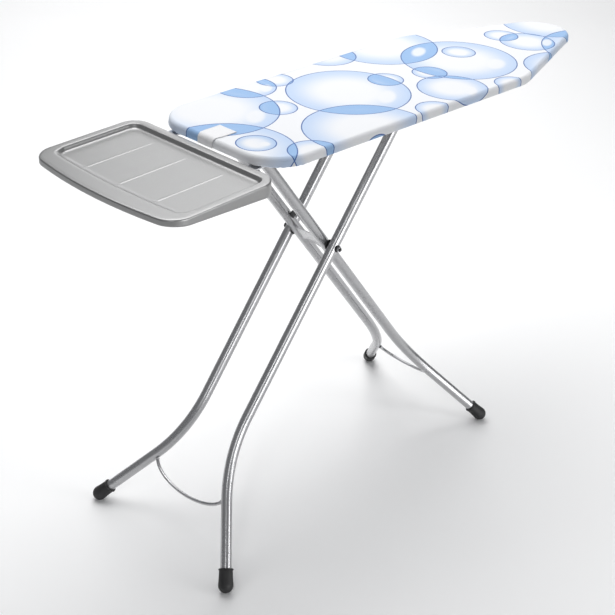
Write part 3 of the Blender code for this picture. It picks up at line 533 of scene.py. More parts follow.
def printed_cotton():
    made, tree, shader, _ = new_finish("printed_cotton", 0.86, 0.0)
    flat = node(tree, "UVMap", uv_map="flat_cut").outputs[0]
    cover, fade, line = bubble_masks(tree, flat, BUBBLES)
    _, pearl, pearl_line = bubble_masks(tree, flat, PEARLS)
    ink = grain(tree, flat, 900.0)
    colour = blend_colours(tree, calc(tree, "MULTIPLY", fade, 0.8), PAPER_WHITE, RIM_BLUE)
    shared = calc(tree, "GREATER_THAN", cover, 1.5)
    lens = calc(tree, "MULTIPLY", shared, ramp(tree, fade, 0.1, 1.0, 0.5, 1.0))
    colour = blend_colours(tree, lens, colour, LENS_BLUE)
    colour = blend_colours(tree, calc(tree, "MULTIPLY", pearl, 0.65), colour, LENS_BLUE)
    shine = calc(tree, "MULTIPLY", glint_mask(tree, flat), 0.85)
    colour = blend_colours(tree, shine, colour, PAPER_WHITE)
    colour = blend_colours(tree, calc(tree, "MAXIMUM", line, pearl_line), colour, LINE_BLUE)
    speckle = ramp(tree, ink, 0.4, 0.75, 0.0, 0.12)
    feed(tree, shader, Base_Color=blend_colours(tree, speckle, colour, PAPER_WHITE))
    shader.inputs["Sheen Weight"].default_value = 0.15
    relief(tree, shader, weave(tree, flat, THREAD), 0.0001, 0.4)
    return made


cotton = printed_cotton()
print("printed cotton has", len(cotton.node_tree.nodes), "nodes")

# %% [markdown]
# ## The fitted cover
# A flat cut of cotton is laid over the board, folded down the side and pulled under the rim by a
# drawn hem. From the top's edge outwards the rows below follow that fold: a soft round edge, the
# side wall, a turn, the hem under the rim, and the fat roll that holds the cord. Where the
# outline curves, the cloth has length to spare, so it gathers. The gathers stand outwards only,
# because the steel rim is right behind the cloth.

# %% Cover rows
EDGE_ROUND = 0.010
TURN = 0.003
HEM = 0.0152
CLOTH = 0.0009
ROLL_RADIUS = 0.0016
ROLL_BACK = 0.0035  # the roll's middle lies this far outside the hem's inner edge
SWELL = 0.00035
GATHER_PITCH, GATHER_OUT, GATHER_DOWN = 0.0021, 0.0009, 0.0012


def fold_rows():
    """(cloth length past the top's edge, inset, height, share of the way down)."""
    rows = []
    for k in range(1, 9):
        a = math.radians(90 * k / 8)
        inset, drop = EDGE_ROUND * (1 - math.sin(a)), EDGE_ROUND * (1 - math.cos(a))
        rows.append((EDGE_ROUND * a, inset, TOP - drop, 0.0))
    wall, run = SIDE - EDGE_ROUND - TURN, EDGE_ROUND * math.pi / 2
    for k in range(1, 6):
        rows.append((run + wall * k / 5, 0.0, TOP - EDGE_ROUND - wall * k / 5, k / 5))
    run += wall
    for k in range(1, 5):
        a = math.radians(90 * k / 4)
        rows.append((run + TURN * a, TURN * (1 - math.cos(a)), TOP - SIDE + TURN * (1 - math.sin(a)), 1.0))
    run += TURN * math.pi / 2
    for k in range(1, 5):
        rows.append((run + (HEM - TURN) * k / 5, TURN + (HEM - TURN) * k / 5, TOP - SIDE, 1.0))
    run += (HEM - TURN) * 0.8
    for k in range(1, 8):
        a = math.radians(300 * k / 7)
        inset = HEM - ROLL_BACK + ROLL_RADIUS * math.sin(a)
        rows.append((run + ROLL_RADIUS * a, inset, TOP - SIDE - ROLL_RADIUS * (1 - math.cos(a)) * 0.5, 0.9))
    return rows


def gather_weight(outline):
    """Near 1 where the outline curves, and small along its straight sides."""
    before = outline - np.roll(outline, 1, axis=0)
    after = np.roll(outline, -1, axis=0) - outline
    turn = np.arctan2(before[:, 0] * after[:, 1] - before[:, 1] * after[:, 0], (before * after).sum(1))
    bend = turn / np.maximum(np.linalg.norm(after, axis=1), 1e-6)
    for _ in range(8):
        bend = (np.roll(bend, 1) + bend * 2 + np.roll(bend, -1)) / 4
    return 0.18 + 0.82 * np.clip(bend / 9.0, 0, 1)


print(len(fold_rows()), "rows from the top's edge to the cord")

# %% Cover mesh
def build_cover():
    outline = board_outline(EDGE_ROUND)
    points, triangles = filled(outline)
    count = len(outline)
    weight = gather_weight(outline)
    length = np.concatenate([[0], np.cumsum(np.linalg.norm(np.diff(outline, axis=0), axis=1))])
    bm = bmesh.new()
    flat_places = [tuple(p) for p in points]
    for u, y in points:
        swell = SWELL * noise.noise(Vector((u * 9, y * 9, 2.0)))
        bm.verts.new(at(u, y, TOP - 0.0004 + swell))
    bm.verts.ensure_lookup_table()
    for face in triangles:
        bm.faces.new([bm.verts[i] for i in face])
    last = [bm.verts[i] for i in range(count)]
    for run, inset, height, share in fold_rows():
        shape, flat = board_outline(inset), board_outline(EDGE_ROUND - run)
        outward = board_outline(inset - 0.001) - shape
        outward /= np.linalg.norm(outward, axis=1)[:, None]
        row = []
        for i in range(count):
            drift = 2.5 * noise.noise(Vector((length[i] * 30, 0, 0)))
            wave = 0.5 + 0.5 * math.sin(length[i] / GATHER_PITCH + drift)
            fold = wave * weight[i] * share ** 2
            u, y = shape[i] + outward[i] * GATHER_OUT * fold * (1 if inset < TURN else 0)
            row.append(bm.verts.new(at(u, y, height - GATHER_DOWN * fold * (inset >= TURN / 2))))
            flat_places.append(tuple(flat[i]))
        for i in range(count):
            j = (i + 1) % count
            bm.faces.new((last[i], row[i], row[j], last[j]))
        last = row
    layer = bm.loops.layers.uv.new("flat_cut")
    bm.verts.index_update()
    for face in bm.faces:
        for corner in face.loops:
            corner[layer].uv = flat_places[corner.vert.index]
    return bm


fitted_cover = link_piece("fitted_cover", build_cover(), cotton, "board", ("cover",), 60)
if fitted_cover.data.polygons[0].normal.z < 0:
    fitted_cover.data.flip_normals()
thick = fitted_cover.modifiers.new("cloth", "SOLIDIFY")
thick.thickness, thick.offset = CLOTH, -1
run = fold_rows()[-1][0]
cut = board_outline(EDGE_ROUND - run)

# %% [markdown]
# ## The felt pad
# Between cotton and steel lies a thin felted foam. It shows only from below, in the openings of
# the expanded metal, so a soft edge, a slight unevenness and a fibrous finish are enough.

# %% Felt
def felt():
    made, tree, shader, place = new_finish("grey_felt", 0.95, 0.0)
    fibres = grain(tree, place, 420.0, 5.0)
    tufts = ramp(tree, grain(tree, place, 90.0), 0.3, 0.7)
    base = blend_colours(tree, tufts, (0.74, 0.74, 0.72), (0.84, 0.84, 0.82))
    loose = ramp(tree, fibres, 0.5, 0.8)
    feed(tree, shader, Base_Color=blend_colours(tree, loose, base, (0.60, 0.60, 0.60)))
    shader.inputs["Sheen Weight"].default_value = 0.3
    relief(tree, shader, fibres, 0.0004, 0.6)
    return made


def build_pad():
    low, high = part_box("foam_pad")
    inset = low.x - low_cover.x
    bm = bmesh.new()
    rings = []
    for step in (EDGE_ROUND, 0.0082, 0.0064, 0.0048, 0.0034, inset):
        drop = EDGE_ROUND - math.sqrt(EDGE_ROUND ** 2 - (EDGE_ROUND - step) ** 2)
        z = min(high.z, TOP - drop - CLOTH - GAP)
        rings.append([bm.verts.new(at(u, y, z)) for u, y in board_outline(step)])
    rings.append([bm.verts.new(at(u, y, low.z)) for u, y in board_outline(inset + 0.0006)])
    for lower, upper in zip(rings, rings[1:]):
        for i in range(len(lower)):
            j = (i + 1) % len(lower)
            bm.faces.new((lower[i], lower[j], upper[j], upper[i]))
    for ring, z, amount in ((rings[0], high.z, -0.0004), (rings[-1], low.z, 0.0004)):
        outline = np.array([(v.co.x + MIDDLE, v.co.y) for v in ring])
        points, triangles = filled(outline)
        verts = list(ring)
        for u, y in points[len(ring):]:
            wobble = amount * abs(noise.noise(Vector((u * 25, y * 25, z))))
            verts.append(bm.verts.new(at(u, y, z + wobble)))
        for face in triangles:
            bm.faces.new([verts[i] for i in face])
    return bm


felt_pad = link_piece("felt_pad", build_pad(), felt(), "board", ("foam_pad",), 60)
print("felt pad", len(felt_pad.data.polygons), "faces")

# %% [markdown]
# ## The woven tag
# A blank label of ribbed tape is sewn on the cover and hangs over the rear edge. Its path follows
# the cover's own round edge, half a millimetre proud, and its end curls a little away. The part
# that hangs is pulled a little narrower, and is rumpled.

# %% Tag
TAG_HALF, TAG_MIDDLE, TAG_REACH, TAG_LIFT = 0.026, 0.012, 0.062, 0.0005
TAG_CREASE, TAG_RUMPLE, TAG_PULL = 0.022, 0.0014, 0.12
TAG_SHEET, TAG_HANG, TAG_CURL = 0.0004, 0.010, 0.0006


def ribbed_tape():
    made, tree, shader, place = new_finish("ribbed_tape", 0.7, 0.0)
    ribs = node(tree, "TexWave", named={"Vector": place, "Scale": 420.0}, bands_direction="Y").outputs["Fac"]
    # Both greys are the tape's own off-white darkened all over: painted shade for the shadow and creases of
    # the hanging part. The ribs move the colour between the two greys.
    feed(tree, shader, Base_Color=blend_colours(tree, ribs, (0.70, 0.70, 0.71), (0.78, 0.78, 0.79)))
    shader.inputs["Sheen Weight"].default_value = 0.2
    relief(tree, shader, ribs, 0.00008, 0.5)
    return made


def tag_path():
    top, radius = TOP + TAG_LIFT, EDGE_ROUND + TAG_LIFT
    path = [(TAG_REACH - (TAG_REACH - EDGE_ROUND) * k / 16, top) for k in range(17)]
    for k in range(1, 9):
        a = math.radians(90 * k / 8)
        path.append((EDGE_ROUND - radius * math.sin(a), top - radius * (1 - math.cos(a))))
    for k in range(1, 5):
        path.append((-TAG_LIFT - TAG_CURL * (k / 4) ** 2, top - radius - TAG_HANG * k / 4))
    return path


def build_tag():
    bm = bmesh.new()
    rows = []
    across = 12
    for u, z in tag_path():
        row = []
        for k in range(across + 1):
            t = -1 + 2 * k / across
            lift = 0.0004 * max(0.0, u / TAG_REACH) ** 6 * t * t
            hang = min(max((TAG_CREASE - u) / TAG_CREASE, 0.0), 1.0)
            crease = TAG_RUMPLE * hang * (1 + math.sin(9.0 * t + 1.2) * math.cos(2.5 * t)) / 2
            y = TAG_MIDDLE + t * TAG_HALF * (1 - TAG_PULL * hang)
            row.append(bm.verts.new(at(u - crease, y, z + lift + 0.6 * crease)))
        rows.append(row)
    for lower, upper in zip(rows, rows[1:]):
        for k in range(across):
            bm.faces.new((lower[k], lower[k + 1], upper[k + 1], upper[k]))
    return bm


tape = ribbed_tape()
woven_tag = link_piece("woven_tag", build_tag(), tape, "board", ("care_tag",), 60)
if woven_tag.data.polygons[0].normal.z < 0:
    woven_tag.data.flip_normals()
tag_thick = woven_tag.modifiers.new("tape", "SOLIDIFY")
tag_thick.thickness, tag_thick.offset = TAG_SHEET, 1

# %% [markdown]
# ## The pressed tray
# The tray is one sheet, pressed: a flat rim, a steep wall down to a shallow floor with three
# stiffening beads, and a skirt round the outside that is deep at the board and shallow in front.
# A pressing is a height above a plan, so it is built as a grid. The grid's lines crowd together
# where the metal bends, its corner squares are squeezed to quarter circles, and its height comes
# from the distance to the outline. Solidify then gives the sheet its thickness.

# %% Tray plan
low_tray, high_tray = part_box("unit_tray")
TRAY_BACK = high_tray.x + MIDDLE
TRAY_HALF = high_tray.y
TRAY_BULGE = 0.0215
TRAY_FRONT = low_tray.x + MIDDLE + TRAY_BULGE
TRAY_CORNER = 0.040
TRAY_SLOPE = 0.0366
TRAY_TOP = high_tray.z
TRAY_SHEET = 0.0011
BEADS = (-0.108, 0.0, 0.105)
BEAD_ENDS = (-0.216, -0.065)
EDGE = ((0.0, -0.0032), (0.0005, -0.0014), (0.0016, -0.0004), (0.0032, 0.0))
WALL = (
    (0.0165, 0.0), (0.0182, -0.0004), (0.0193, -0.0016), (0.0222, -0.0076), (0.0240, -0.0092),
    (0.0275, -0.0099), (0.0320, -0.0100),
)
FRONT_RIM = ((0.0, 0.0), (0.003, 0.003), (0.033, 0.0165), (0.060, 0.0320), (0.110, 0.110))
FINER = (0.0009, 0.0024, 0.010, 0.0207, 0.0255, 0.036, 0.040, 0.048, 0.060)
FINEST, COARSEST = 0.0002, 0.009
SKIRT_BACK, SKIRT_FRONT, SKIRT_BETWEEN = 0.030, 0.0135, 0.008
SKIRT_TURN = 0.016


def grid_lines(half, crowded):
    """Places from -half to half, dense at the rim and near the crowded places."""
    offsets = [d for d, _ in EDGE + WALL] + list(FINER)
    lines = [half - d for d in offsets] + [-half + d for d in offsets]
    for place in crowded:
        steps = (0.0, 0.001, 0.002, 0.0032, 0.005)
        lines += [place + side * step for side in (-1, 1) for step in steps]
    lines = sorted(set(round(v, 6) for v in lines))
    full = [lines[0]]
    for line in lines[1:]:
        gap = line - full[-1]
        if gap < FINEST:
            continue
        parts = max(1, math.ceil(gap / COARSEST))
        full += [full[-1] + gap * k / parts for k in range(1, parts)] + [line]
    return full


def round_corner(p, q):
    """Squeezes the corner squares of the plan to quarter circles."""
    a, b = (TRAY_BACK - TRAY_FRONT) / 2 - TRAY_CORNER, TRAY_HALF - TRAY_CORNER
    over_p, over_q = (abs(p) - a) / TRAY_CORNER, (abs(q) - b) / TRAY_CORNER
    if over_p <= 0 or over_q <= 0:
        return p, q
    x = over_p * math.sqrt(1 - over_q * over_q / 2)
    y = over_q * math.sqrt(1 - over_p * over_p / 2)
    return math.copysign(a + TRAY_CORNER * x, p), math.copysign(b + TRAY_CORNER * y, q)


def edge_distance(p, q):
    """How far a place lies inside the tray's rounded outline."""
    a, b = (TRAY_BACK - TRAY_FRONT) / 2 - TRAY_CORNER, TRAY_HALF - TRAY_CORNER
    over_p, over_q = abs(p) - a, abs(q) - b
    outside = math.hypot(max(over_p, 0.0), max(over_q, 0.0))
    return TRAY_CORNER - outside - min(max(over_p, over_q), 0.0)


print("tray", round(TRAY_BACK - TRAY_FRONT, 4), "deep and", round(2 * TRAY_HALF, 4), "wide")

# %% Tray heights
BEAD_HALF, BEAD_RISE = 0.0024, 0.0007
DIMPLE, DIMPLE_RISE, DIMPLE_AHEAD = 0.0036, 0.0016, 0.007


def tray_plane(u):
    return TRAY_TOP + TRAY_SLOPE * (u - TRAY_BACK)


def bead_height(u, y):
    """Three fine beads, each with a small round dimple ahead of its front end."""
    height = 0.0
    for middle in BEADS:
        over = max(BEAD_ENDS[0] - u, u - BEAD_ENDS[1], 0.0)
        away = math.hypot(y - middle, over) / BEAD_HALF
        if away < 1:
            height = BEAD_RISE * (1 - away * away) ** 1.5
        knob = math.hypot(u - BEAD_ENDS[0] + DIMPLE_AHEAD, y - middle) / DIMPLE
        if knob < 1:
            height = max(height, DIMPLE_RISE * (1 - knob * knob))
    return height


def skirt_depth(u, y):
    """Deep at the back corners, shallow in front, and cut short on the side facing the board."""
    share = min(max((TRAY_BACK - u) / (TRAY_BACK - TRAY_FRONT), 0.0), 1.0)
    side = SKIRT_BACK + (SKIRT_FRONT - SKIRT_BACK) * share
    if u < TRAY_BACK - 0.004:
        return side
    corner = (abs(y) - (TRAY_HALF - TRAY_CORNER - SKIRT_TURN / 2)) / SKIRT_TURN
    corner = min(max(corner, 0.0), 1.0)
    return SKIRT_BETWEEN + (side - SKIRT_BETWEEN) * corner * corner * (3 - 2 * corner)


def look_up(table, value):
    return float(np.interp(value, [a for a, _ in table], [b for _, b in table]))


def tray_place(p, q):
    """(u before the bow, u, height); the rim in front is wider and falls more softly."""
    u = p + (TRAY_BACK + TRAY_FRONT) / 2
    half = (TRAY_BACK - TRAY_FRONT) / 2
    front = look_up(FRONT_RIM, p + half) - half if p < 0 else p
    height = look_up(EDGE, max(edge_distance(p, q), 0.0)) + look_up(WALL, edge_distance(front, q))
    share = max(0.0, (TRAY_BACK - u) / (TRAY_BACK - TRAY_FRONT)) ** 3 * (1 - (q / TRAY_HALF) ** 2)
    return u, u - TRAY_BULGE * share, tray_plane(u) + height + bead_height(u, q)


print("beads at", BEADS)

# %% Tray mesh
def border_of(grid):
    """The grid's outer ring of vertices, in order."""
    ring = list(grid[0]) + [row[-1] for row in grid[1:]] + list(reversed(grid[-1][:-1]))
    return ring + [row[0] for row in reversed(grid[1:-1])]


# (share of the way down the skirt, distance inwards): the foot is rolled back under itself
SKIRT_ROWS = (
    (0.12, 0), (0.3, 0), (0.5, 0), (0.7, 0), (0.9, 0), (1.0, 0.0006), (1.02, 0.0018),
    (0.98, 0.0026), (0.72, 0.0026),
)


def build_tray():
    depth = (TRAY_BACK - TRAY_FRONT) / 2
    middle_u = (TRAY_BACK + TRAY_FRONT) / 2
    p_lines = grid_lines(depth, [end - middle_u for end in BEAD_ENDS])
    q_lines = grid_lines(TRAY_HALF, BEADS)
    bm = bmesh.new()
    grid, plain = [], {}
    for line in p_lines:
        row = []
        for across in q_lines:
            p, q = round_corner(line, across)
            flat_u, u, z = tray_place(p, q)
            vert = bm.verts.new(at(u, q, z))
            plain[vert] = (flat_u, u, q)
            row.append(vert)
        grid.append(row)
    for lower, upper in zip(grid, grid[1:]):
        for k in range(len(lower) - 1):
            bm.faces.new((lower[k], upper[k], upper[k + 1], lower[k + 1]))
    ring = border_of(grid)
    last = ring
    centre = Vector((middle_u, 0.0))
    for share, inward in SKIRT_ROWS:
        row = []
        for vert in ring:
            flat_u, u, y = plain[vert]
            start, end = tray_plane(flat_u) + EDGE[0][1], tray_plane(flat_u) - skirt_depth(flat_u, y)
            step = (Vector((u, y)) - centre).normalized() * inward
            row.append(bm.verts.new(at(u - step.x, y - step.y, start + (end - start) * share)))
        for i in range(len(ring)):
            j = (i + 1) % len(ring)
            bm.faces.new((last[i], last[j], row[j], row[i]))
        last = row
    return bm


pressed_tray = link_piece("pressed_tray", build_tray(), tray_paint, "board", ("unit_tray",), 50)
if sum(p.normal.z * p.area for p in pressed_tray.data.polygons) < 0:
    pressed_tray.data.flip_normals()
sheet = pressed_tray.modifiers.new("sheet", "SOLIDIFY")
sheet.thickness, sheet.offset = TRAY_SHEET, -1
print("tray has", len(pressed_tray.data.polygons), "faces")

# %% [markdown]
# ## Round stock: tubes, rods and wires
# Everything round is a row of rings joined by quads. A ring stands square to the path it follows,
# and forty or more sides keep the outline round in a close view.

# %% Rings and lofts
SIDES = 48


def ring_at(centre, first, second, radius, sides=SIDES):
    angles = [2 * math.pi * i / sides for i in range(sides)]
    return [centre + radius * (math.cos(a) * first + math.sin(a) * second) for a in angles]


def path_rings(path, normal, radii, sides=SIDES):
    """Rings along a path that lies in the plane with this normal; radii is a number or a list."""
    rings = []
    for i, point in enumerate(path):
        ahead = path[min(i + 1, len(path) - 1)] - path[max(i - 1, 0)]
        side = ahead.normalized().cross(normal)
        radius = radii[i] if isinstance(radii, list) else radii
        rings.append(ring_at(point, normal, side, radius, sides))
    return rings


def loft(rings, closed=False):
    bm = bmesh.new()
    rows = [[bm.verts.new(point) for point in ring] for ring in rings]
    pairs = list(zip(rows, rows[1:])) + ([(rows[-1], rows[0])] if closed else [])
    for lower, upper in pairs:
        for i in range(len(lower)):
            j = (i + 1) % len(lower)
            bm.faces.new((lower[i], lower[j], upper[j], upper[i]))
    if not closed:
        bm.faces.new(rows[0])
        bm.faces.new(rows[-1])
    return bm


def turned(base, axis, profile, closed=False, sides=SIDES):
    """A turned piece: profile holds (distance along the axis, radius)."""
    axis = axis.normalized()
    first = axis.orthogonal().normalized()
    second = axis.cross(first)
    return loft([ring_at(base + axis * along, first, second, r, sides) for along, r in profile], closed)


print("round stock has", SIDES, "sides")

# %% [markdown]
# ## The leg frames
# Two pairs of legs cross like scissors at a bolt. Each leg is one tube, straight past the bolt and
# then bent outwards in a wide curve to its foot. The outer frame leans to the rear and the inner
# frame leans to the nose, so one set of rules with a sign for the lean makes all four.

# %% Leg measures
bolt_low, bolt_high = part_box("pivot_bolt")
PIVOT = Vector(((bolt_low.x + bolt_high.x) / 2, 0.0, (bolt_low.z + bolt_high.z) / 2))
rod_low, rod_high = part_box("inner_top_rod")
LEG_ANGLE = math.radians(52.5)
UPPER_LEG = ((rod_low.z + rod_high.z) / 2 - PIVOT.z) / math.sin(LEG_ANGLE)
FOOT_RADIUS = 0.017
TUBE_STOP = 0.004  # the tube ends this far before the middle of the cap's round end
LOWER_LEG = (PIVOT.z - FOOT_RADIUS) / math.sin(LEG_ANGLE)
ROD_RADIUS = 0.007
TUBE_RADIUS, TUBE_WALL = 0.0125, 0.0011
SPLAY_ANGLE, SPLAY_RADIUS = math.radians(33.0), 0.34
INNER_HALF, INNER_FOOT = 0.0410, 0.1995
OUTER_HALF, OUTER_FOOT = 0.0685, 0.2240
FRAMES = (("inner", 1, INNER_HALF, INNER_FOOT), ("outer", -1, OUTER_HALF, OUTER_FOOT))
HANDS = ((1, "left"), (-1, "right"))


def leg_axes(lean):
    down = Vector((lean * math.cos(LEG_ANGLE), 0.0, -math.sin(LEG_ANGLE)))
    normal = Vector((math.sin(LEG_ANGLE), 0.0, lean * math.cos(LEG_ANGLE)))
    return down, normal


def leg_point(lean, s, y, off=0.0):
    down, normal = leg_axes(lean)
    return PIVOT + Vector((0, y, 0)) + down * s + normal * off


def splay_corner(half, foot_half):
    return LOWER_LEG - (foot_half - half) / math.tan(SPLAY_ANGLE)


def leg_path(lean, side, half, foot_half):
    start = splay_corner(half, foot_half) - SPLAY_RADIUS * math.tan(SPLAY_ANGLE / 2)
    top = -UPPER_LEG + ROD_RADIUS + GAP
    path = [leg_point(lean, top + (start - top) * k / 12, side * half) for k in range(13)]
    for k in range(1, 29):
        angle = SPLAY_ANGLE * k / 28
        y = half + SPLAY_RADIUS * (1 - math.cos(angle))
        path.append(leg_point(lean, start + SPLAY_RADIUS * math.sin(angle), side * y))
    foot = leg_point(lean, LOWER_LEG, side * foot_half)
    along = (foot - path[-1]).normalized()
    path.append(foot - along * TUBE_STOP)
    return path, foot, along


print("pivot at", [round(v, 4) for v in PIVOT], "lower leg", round(LOWER_LEG, 4))

# %% Legs and foot caps
FOOT_SLEEVE = 0.036
LIP = 0.0018


def cap_profile():
    """A sleeve with a rolled lip, a faint waist and a round end."""
    bore = TUBE_RADIUS + GAP
    seat = -TUBE_STOP + GAP
    profile = [(seat, bore * 0.5), (seat, bore), (-FOOT_SLEEVE, bore)]
    lip = FOOT_RADIUS - 0.0006
    for k in range(7):
        a = math.radians(180 - 180 * k / 6)
        profile.append((-FOOT_SLEEVE + LIP * (1 + math.cos(a)), lip - 0.0012 + LIP * math.sin(a)))
    profile += [
        (-FOOT_SLEEVE + 0.0046, lip - 0.0010), (-0.020, lip - 0.0006), (-0.008, lip),
        (-0.003, FOOT_RADIUS),
    ]
    for k in range(15):
        a = math.radians(6 * k)
        profile.append((FOOT_RADIUS * math.sin(a), FOOT_RADIUS * math.cos(a)))
    return profile


for frame_name, lean, half, foot_half in FRAMES:
    body = f"{frame_name}_frame"
    normal = leg_axes(lean)[1]
    for side, hand in HANDS:
        path, foot, along = leg_path(lean, side, half, foot_half)
        outer = path_rings(path, normal, TUBE_RADIUS)
        inner = path_rings(path, normal, TUBE_RADIUS - TUBE_WALL)
        mesh = loft(outer + inner[::-1], closed=True)
        link_piece(f"{frame_name}_tube_{hand}", mesh, silver_paint, body,
                   (f"{frame_name}_leg_{hand}",), 50)
        mesh = turned(foot, along, cap_profile())
        link_piece(f"{frame_name}_cap_{hand}", mesh, cap_rubber, body,
                   (f"{frame_name}_foot_{hand}",), 50)
print("four legs with rubber caps")

# %% [markdown]
# ## Wires and rods
# A bowed wire joins each pair of legs near the floor. Its ends are welded to the tubes, and a
# small fillet of weld closes the joint. The top rods have a chamfer at each end.

# %% Stretchers and top rods
WIRE_RADIUS = 0.0038
BOW_FLAT = 0.97
WIRE_STEPS = 60
FILLET = 0.0012
WIRES = {"inner": (0.1518, 0.041), "outer": (0.1478, 0.046)}


def wire_path(lean, half, foot_half, wire):
    up_leg, bow = wire
    down = LOWER_LEG - up_leg
    centre = half + (down - splay_corner(half, foot_half)) * math.tan(SPLAY_ANGLE)
    reach = centre - TUBE_RADIUS / math.cos(SPLAY_ANGLE) - WIRE_RADIUS / 3
    lift = bow * math.sqrt(1 - BOW_FLAT ** 2)
    path = []
    for k in range(WIRE_STEPS + 1):
        t = -math.cos(math.pi * k / WIRE_STEPS)
        sag = bow * math.sqrt(1 - (BOW_FLAT * t) ** 2) - lift
        path.append(leg_point(lean, down + sag, t * reach))
    return path


def rod_profile(length, radius):
    chamfer = 0.0008
    return [(0, radius - chamfer), (chamfer, radius), (length - chamfer, radius), (length, radius - chamfer)]


for frame_name, lean, half, foot_half in FRAMES:
    body = f"{frame_name}_frame"
    path = wire_path(lean, half, foot_half, WIRES[frame_name])
    radii = [
        WIRE_RADIUS + FILLET * math.exp(-min(k, WIRE_STEPS - k) / 2.5) for k in range(WIRE_STEPS + 1)
    ]
    mesh = loft(path_rings(path, leg_axes(lean)[1], radii, 28))
    link_piece(f"{frame_name}_wire", mesh, silver_paint, body,
               (f"{frame_name}_stretcher",), 60)
    low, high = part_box(f"{frame_name}_top_rod")
    base = Vector(((low.x + high.x) / 2, low.y, (low.z + high.z) / 2))
    mesh = turned(base, Vector((0, 1, 0)), rod_profile(high.y - low.y, ROD_RADIUS))
    link_piece(f"{frame_name}_rod", mesh, silver_paint, body, (f"{frame_name}_top_rod",))
print("two wires and two rods")

# %% [markdown]
# ## The scissor bolt
# A black domed head, plastic spacers between the tubes, a washer, and a bright hexagon nut
# with its corners turned off. Each is a turned ring with its edges eased, because a sharp edge
# never catches the light.

# %% Bolt, washer, spacers and nut
ACROSS = Vector((0, 1, 0))
EASE = 0.0004


def eased_ring(width, radius, bore):
    return [(0, bore), (0, radius - EASE), (EASE * 0.3, radius - EASE * 0.3), (EASE, radius),
            (width - EASE, radius), (width - EASE * 0.3, radius - EASE * 0.3), (width, radius - EASE),
            (width, bore)]


def node_base(name):
    low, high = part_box(name)
    return Vector(((low.x + high.x) / 2, low.y, (low.z + high.z) / 2)), high.y - low.y, (high.x - low.x) / 2


BORE = 0.0043
SHANK_RADIUS = 0.0040
HEAD_TALL, HEAD_DOME = 0.0070, 0.0052
for name, piece in (("pivot_washer", "plain_washer"), ("pivot_spacer_left", "spacer_left"),
                    ("pivot_spacer_right", "spacer_right")):
    base, width, radius = node_base(name)
    mesh = turned(base, ACROSS, eased_ring(width, radius, BORE), closed=True)
    link_piece(piece, mesh, black_plastic, "outer_frame", (name,), 30)

base, length, head = node_base("pivot_bolt")
under_head = length - HEAD_TALL
profile = [
    (0, SHANK_RADIUS * 0.75), (0.0009, SHANK_RADIUS), (under_head, SHANK_RADIUS),
    (under_head, head - EASE), (under_head + EASE, head),
]
for k in range(1, 13):
    a = math.radians(90 * k / 12)
    along = under_head + (HEAD_TALL - HEAD_DOME) + HEAD_DOME * math.sin(a)
    profile.append((along, head * math.cos(a) + 0.0002))
link_piece("domed_bolt", turned(base, ACROSS, profile), black_plastic, "outer_frame",
           ("pivot_bolt",), 30)
print("bolt", round(length, 4), "long")

# %% Hexagon nut
NUT_CHAMFER, BORE_EASE = 0.0009, 0.0006


def build_nut(base, thick, radius):
    """Six flats, with both ends cut by a shallow cone."""
    rings = []
    flat = radius * math.cos(math.pi / 6)
    rows = [
        (0.0, flat * 0.97), (NUT_CHAMFER, radius), (thick - NUT_CHAMFER, radius), (thick, flat * 0.97),
        (thick, BORE + BORE_EASE), (thick - BORE_EASE, BORE), (BORE_EASE, BORE), (0.0, BORE + BORE_EASE),
    ]
    for along, limit in rows:
        ring = []
        for i in range(72):
            angle = 2 * math.pi * i / 72
            hexagon = flat / math.cos((angle % (math.pi / 3)) - math.pi / 6)
            reach = min(hexagon, limit)
            ring.append(base + ACROSS * along + reach * Vector((math.cos(angle), 0, math.sin(angle))))
        rings.append(ring)
    return loft(rings, closed=True)


base, thick_nut, radius = node_base("pivot_nut")
link_piece("hexagon_nut", build_nut(base, thick_nut, radius), chrome, "outer_frame",
           ("pivot_nut",), 25)
print("nut", round(2 * radius, 4), "across corners")

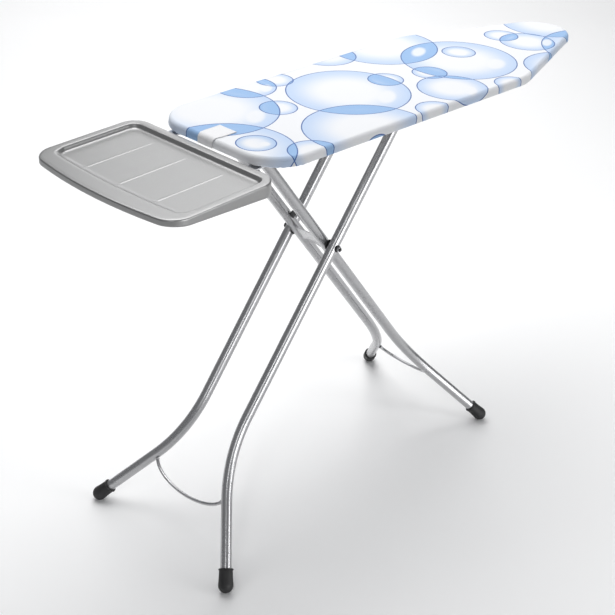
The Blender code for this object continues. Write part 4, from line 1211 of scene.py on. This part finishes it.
# %% [markdown]
# ## Pivot plate and clip
# A pressed plate is welded between the inner legs and hides the bolt. Its lower edge is hollowed
# and turns forward in a small bright lip. A black clip sits on the left leg, above the plate.

# %% Pivot plate
PLATE_TOP, PLATE_LOW, PLATE_HOLLOW = -0.042, 0.013, 0.011
PLATE_NEAR = -(SHANK_RADIUS + 0.003)
PLATE_SHEET = 0.0012
PLATE_LIP, LIP_WIDE = 0.0018, 0.005
PLATE_STEPS = 24


def build_plate():
    reach = INNER_HALF - TUBE_RADIUS - GAP
    bm = bmesh.new()
    rows = []
    for i in range(PLATE_STEPS + 1):
        v = i / PLATE_STEPS
        row = []
        for k in range(PLATE_STEPS + 1):
            t = -1 + 2 * k / PLATE_STEPS
            low = PLATE_LOW - PLATE_HOLLOW * (1 - t * t)
            s = PLATE_TOP + (low - PLATE_TOP) * v
            lip = PLATE_LIP * max(0.0, 1 - (low - s) / LIP_WIDE) ** 2
            row.append(bm.verts.new(leg_point(1, s, t * reach, PLATE_NEAR - lip)))
        rows.append(row)
    for lower, upper in zip(rows, rows[1:]):
        for k in range(PLATE_STEPS):
            bm.faces.new((lower[k], upper[k], upper[k + 1], lower[k + 1]))
    return bm


plate = link_piece("welded_plate", build_plate(), silver_paint, "inner_frame",
                   ("pivot_plate",), 60)
plate_sheet = plate.modifiers.new("sheet", "SOLIDIFY")
plate_sheet.thickness, plate_sheet.offset = PLATE_SHEET, 0

# %% Clip
CLIP_WIDE, CLIP_ROUND = 0.005, 0.0012
CLIP_OUTLINE = ((-0.080, 0.001), (-0.062, 0.001), (-0.064, 0.0135), (-0.078, 0.0135))


def build_clip():
    wall = INNER_HALF - TUBE_RADIUS - GAP
    rings = [[leg_point(1, s, y, off) for s, off in CLIP_OUTLINE] for y in (wall - CLIP_WIDE, wall)]
    bm = loft(rings)
    bmesh.ops.bevel(bm, geom=list(bm.edges), offset=CLIP_ROUND, segments=4, affect="EDGES", profile=0.5)
    return bm


link_piece("plastic_clip", build_clip(), black_plastic, "inner_frame", ("leg_clip",), 40)
print("plate and clip")
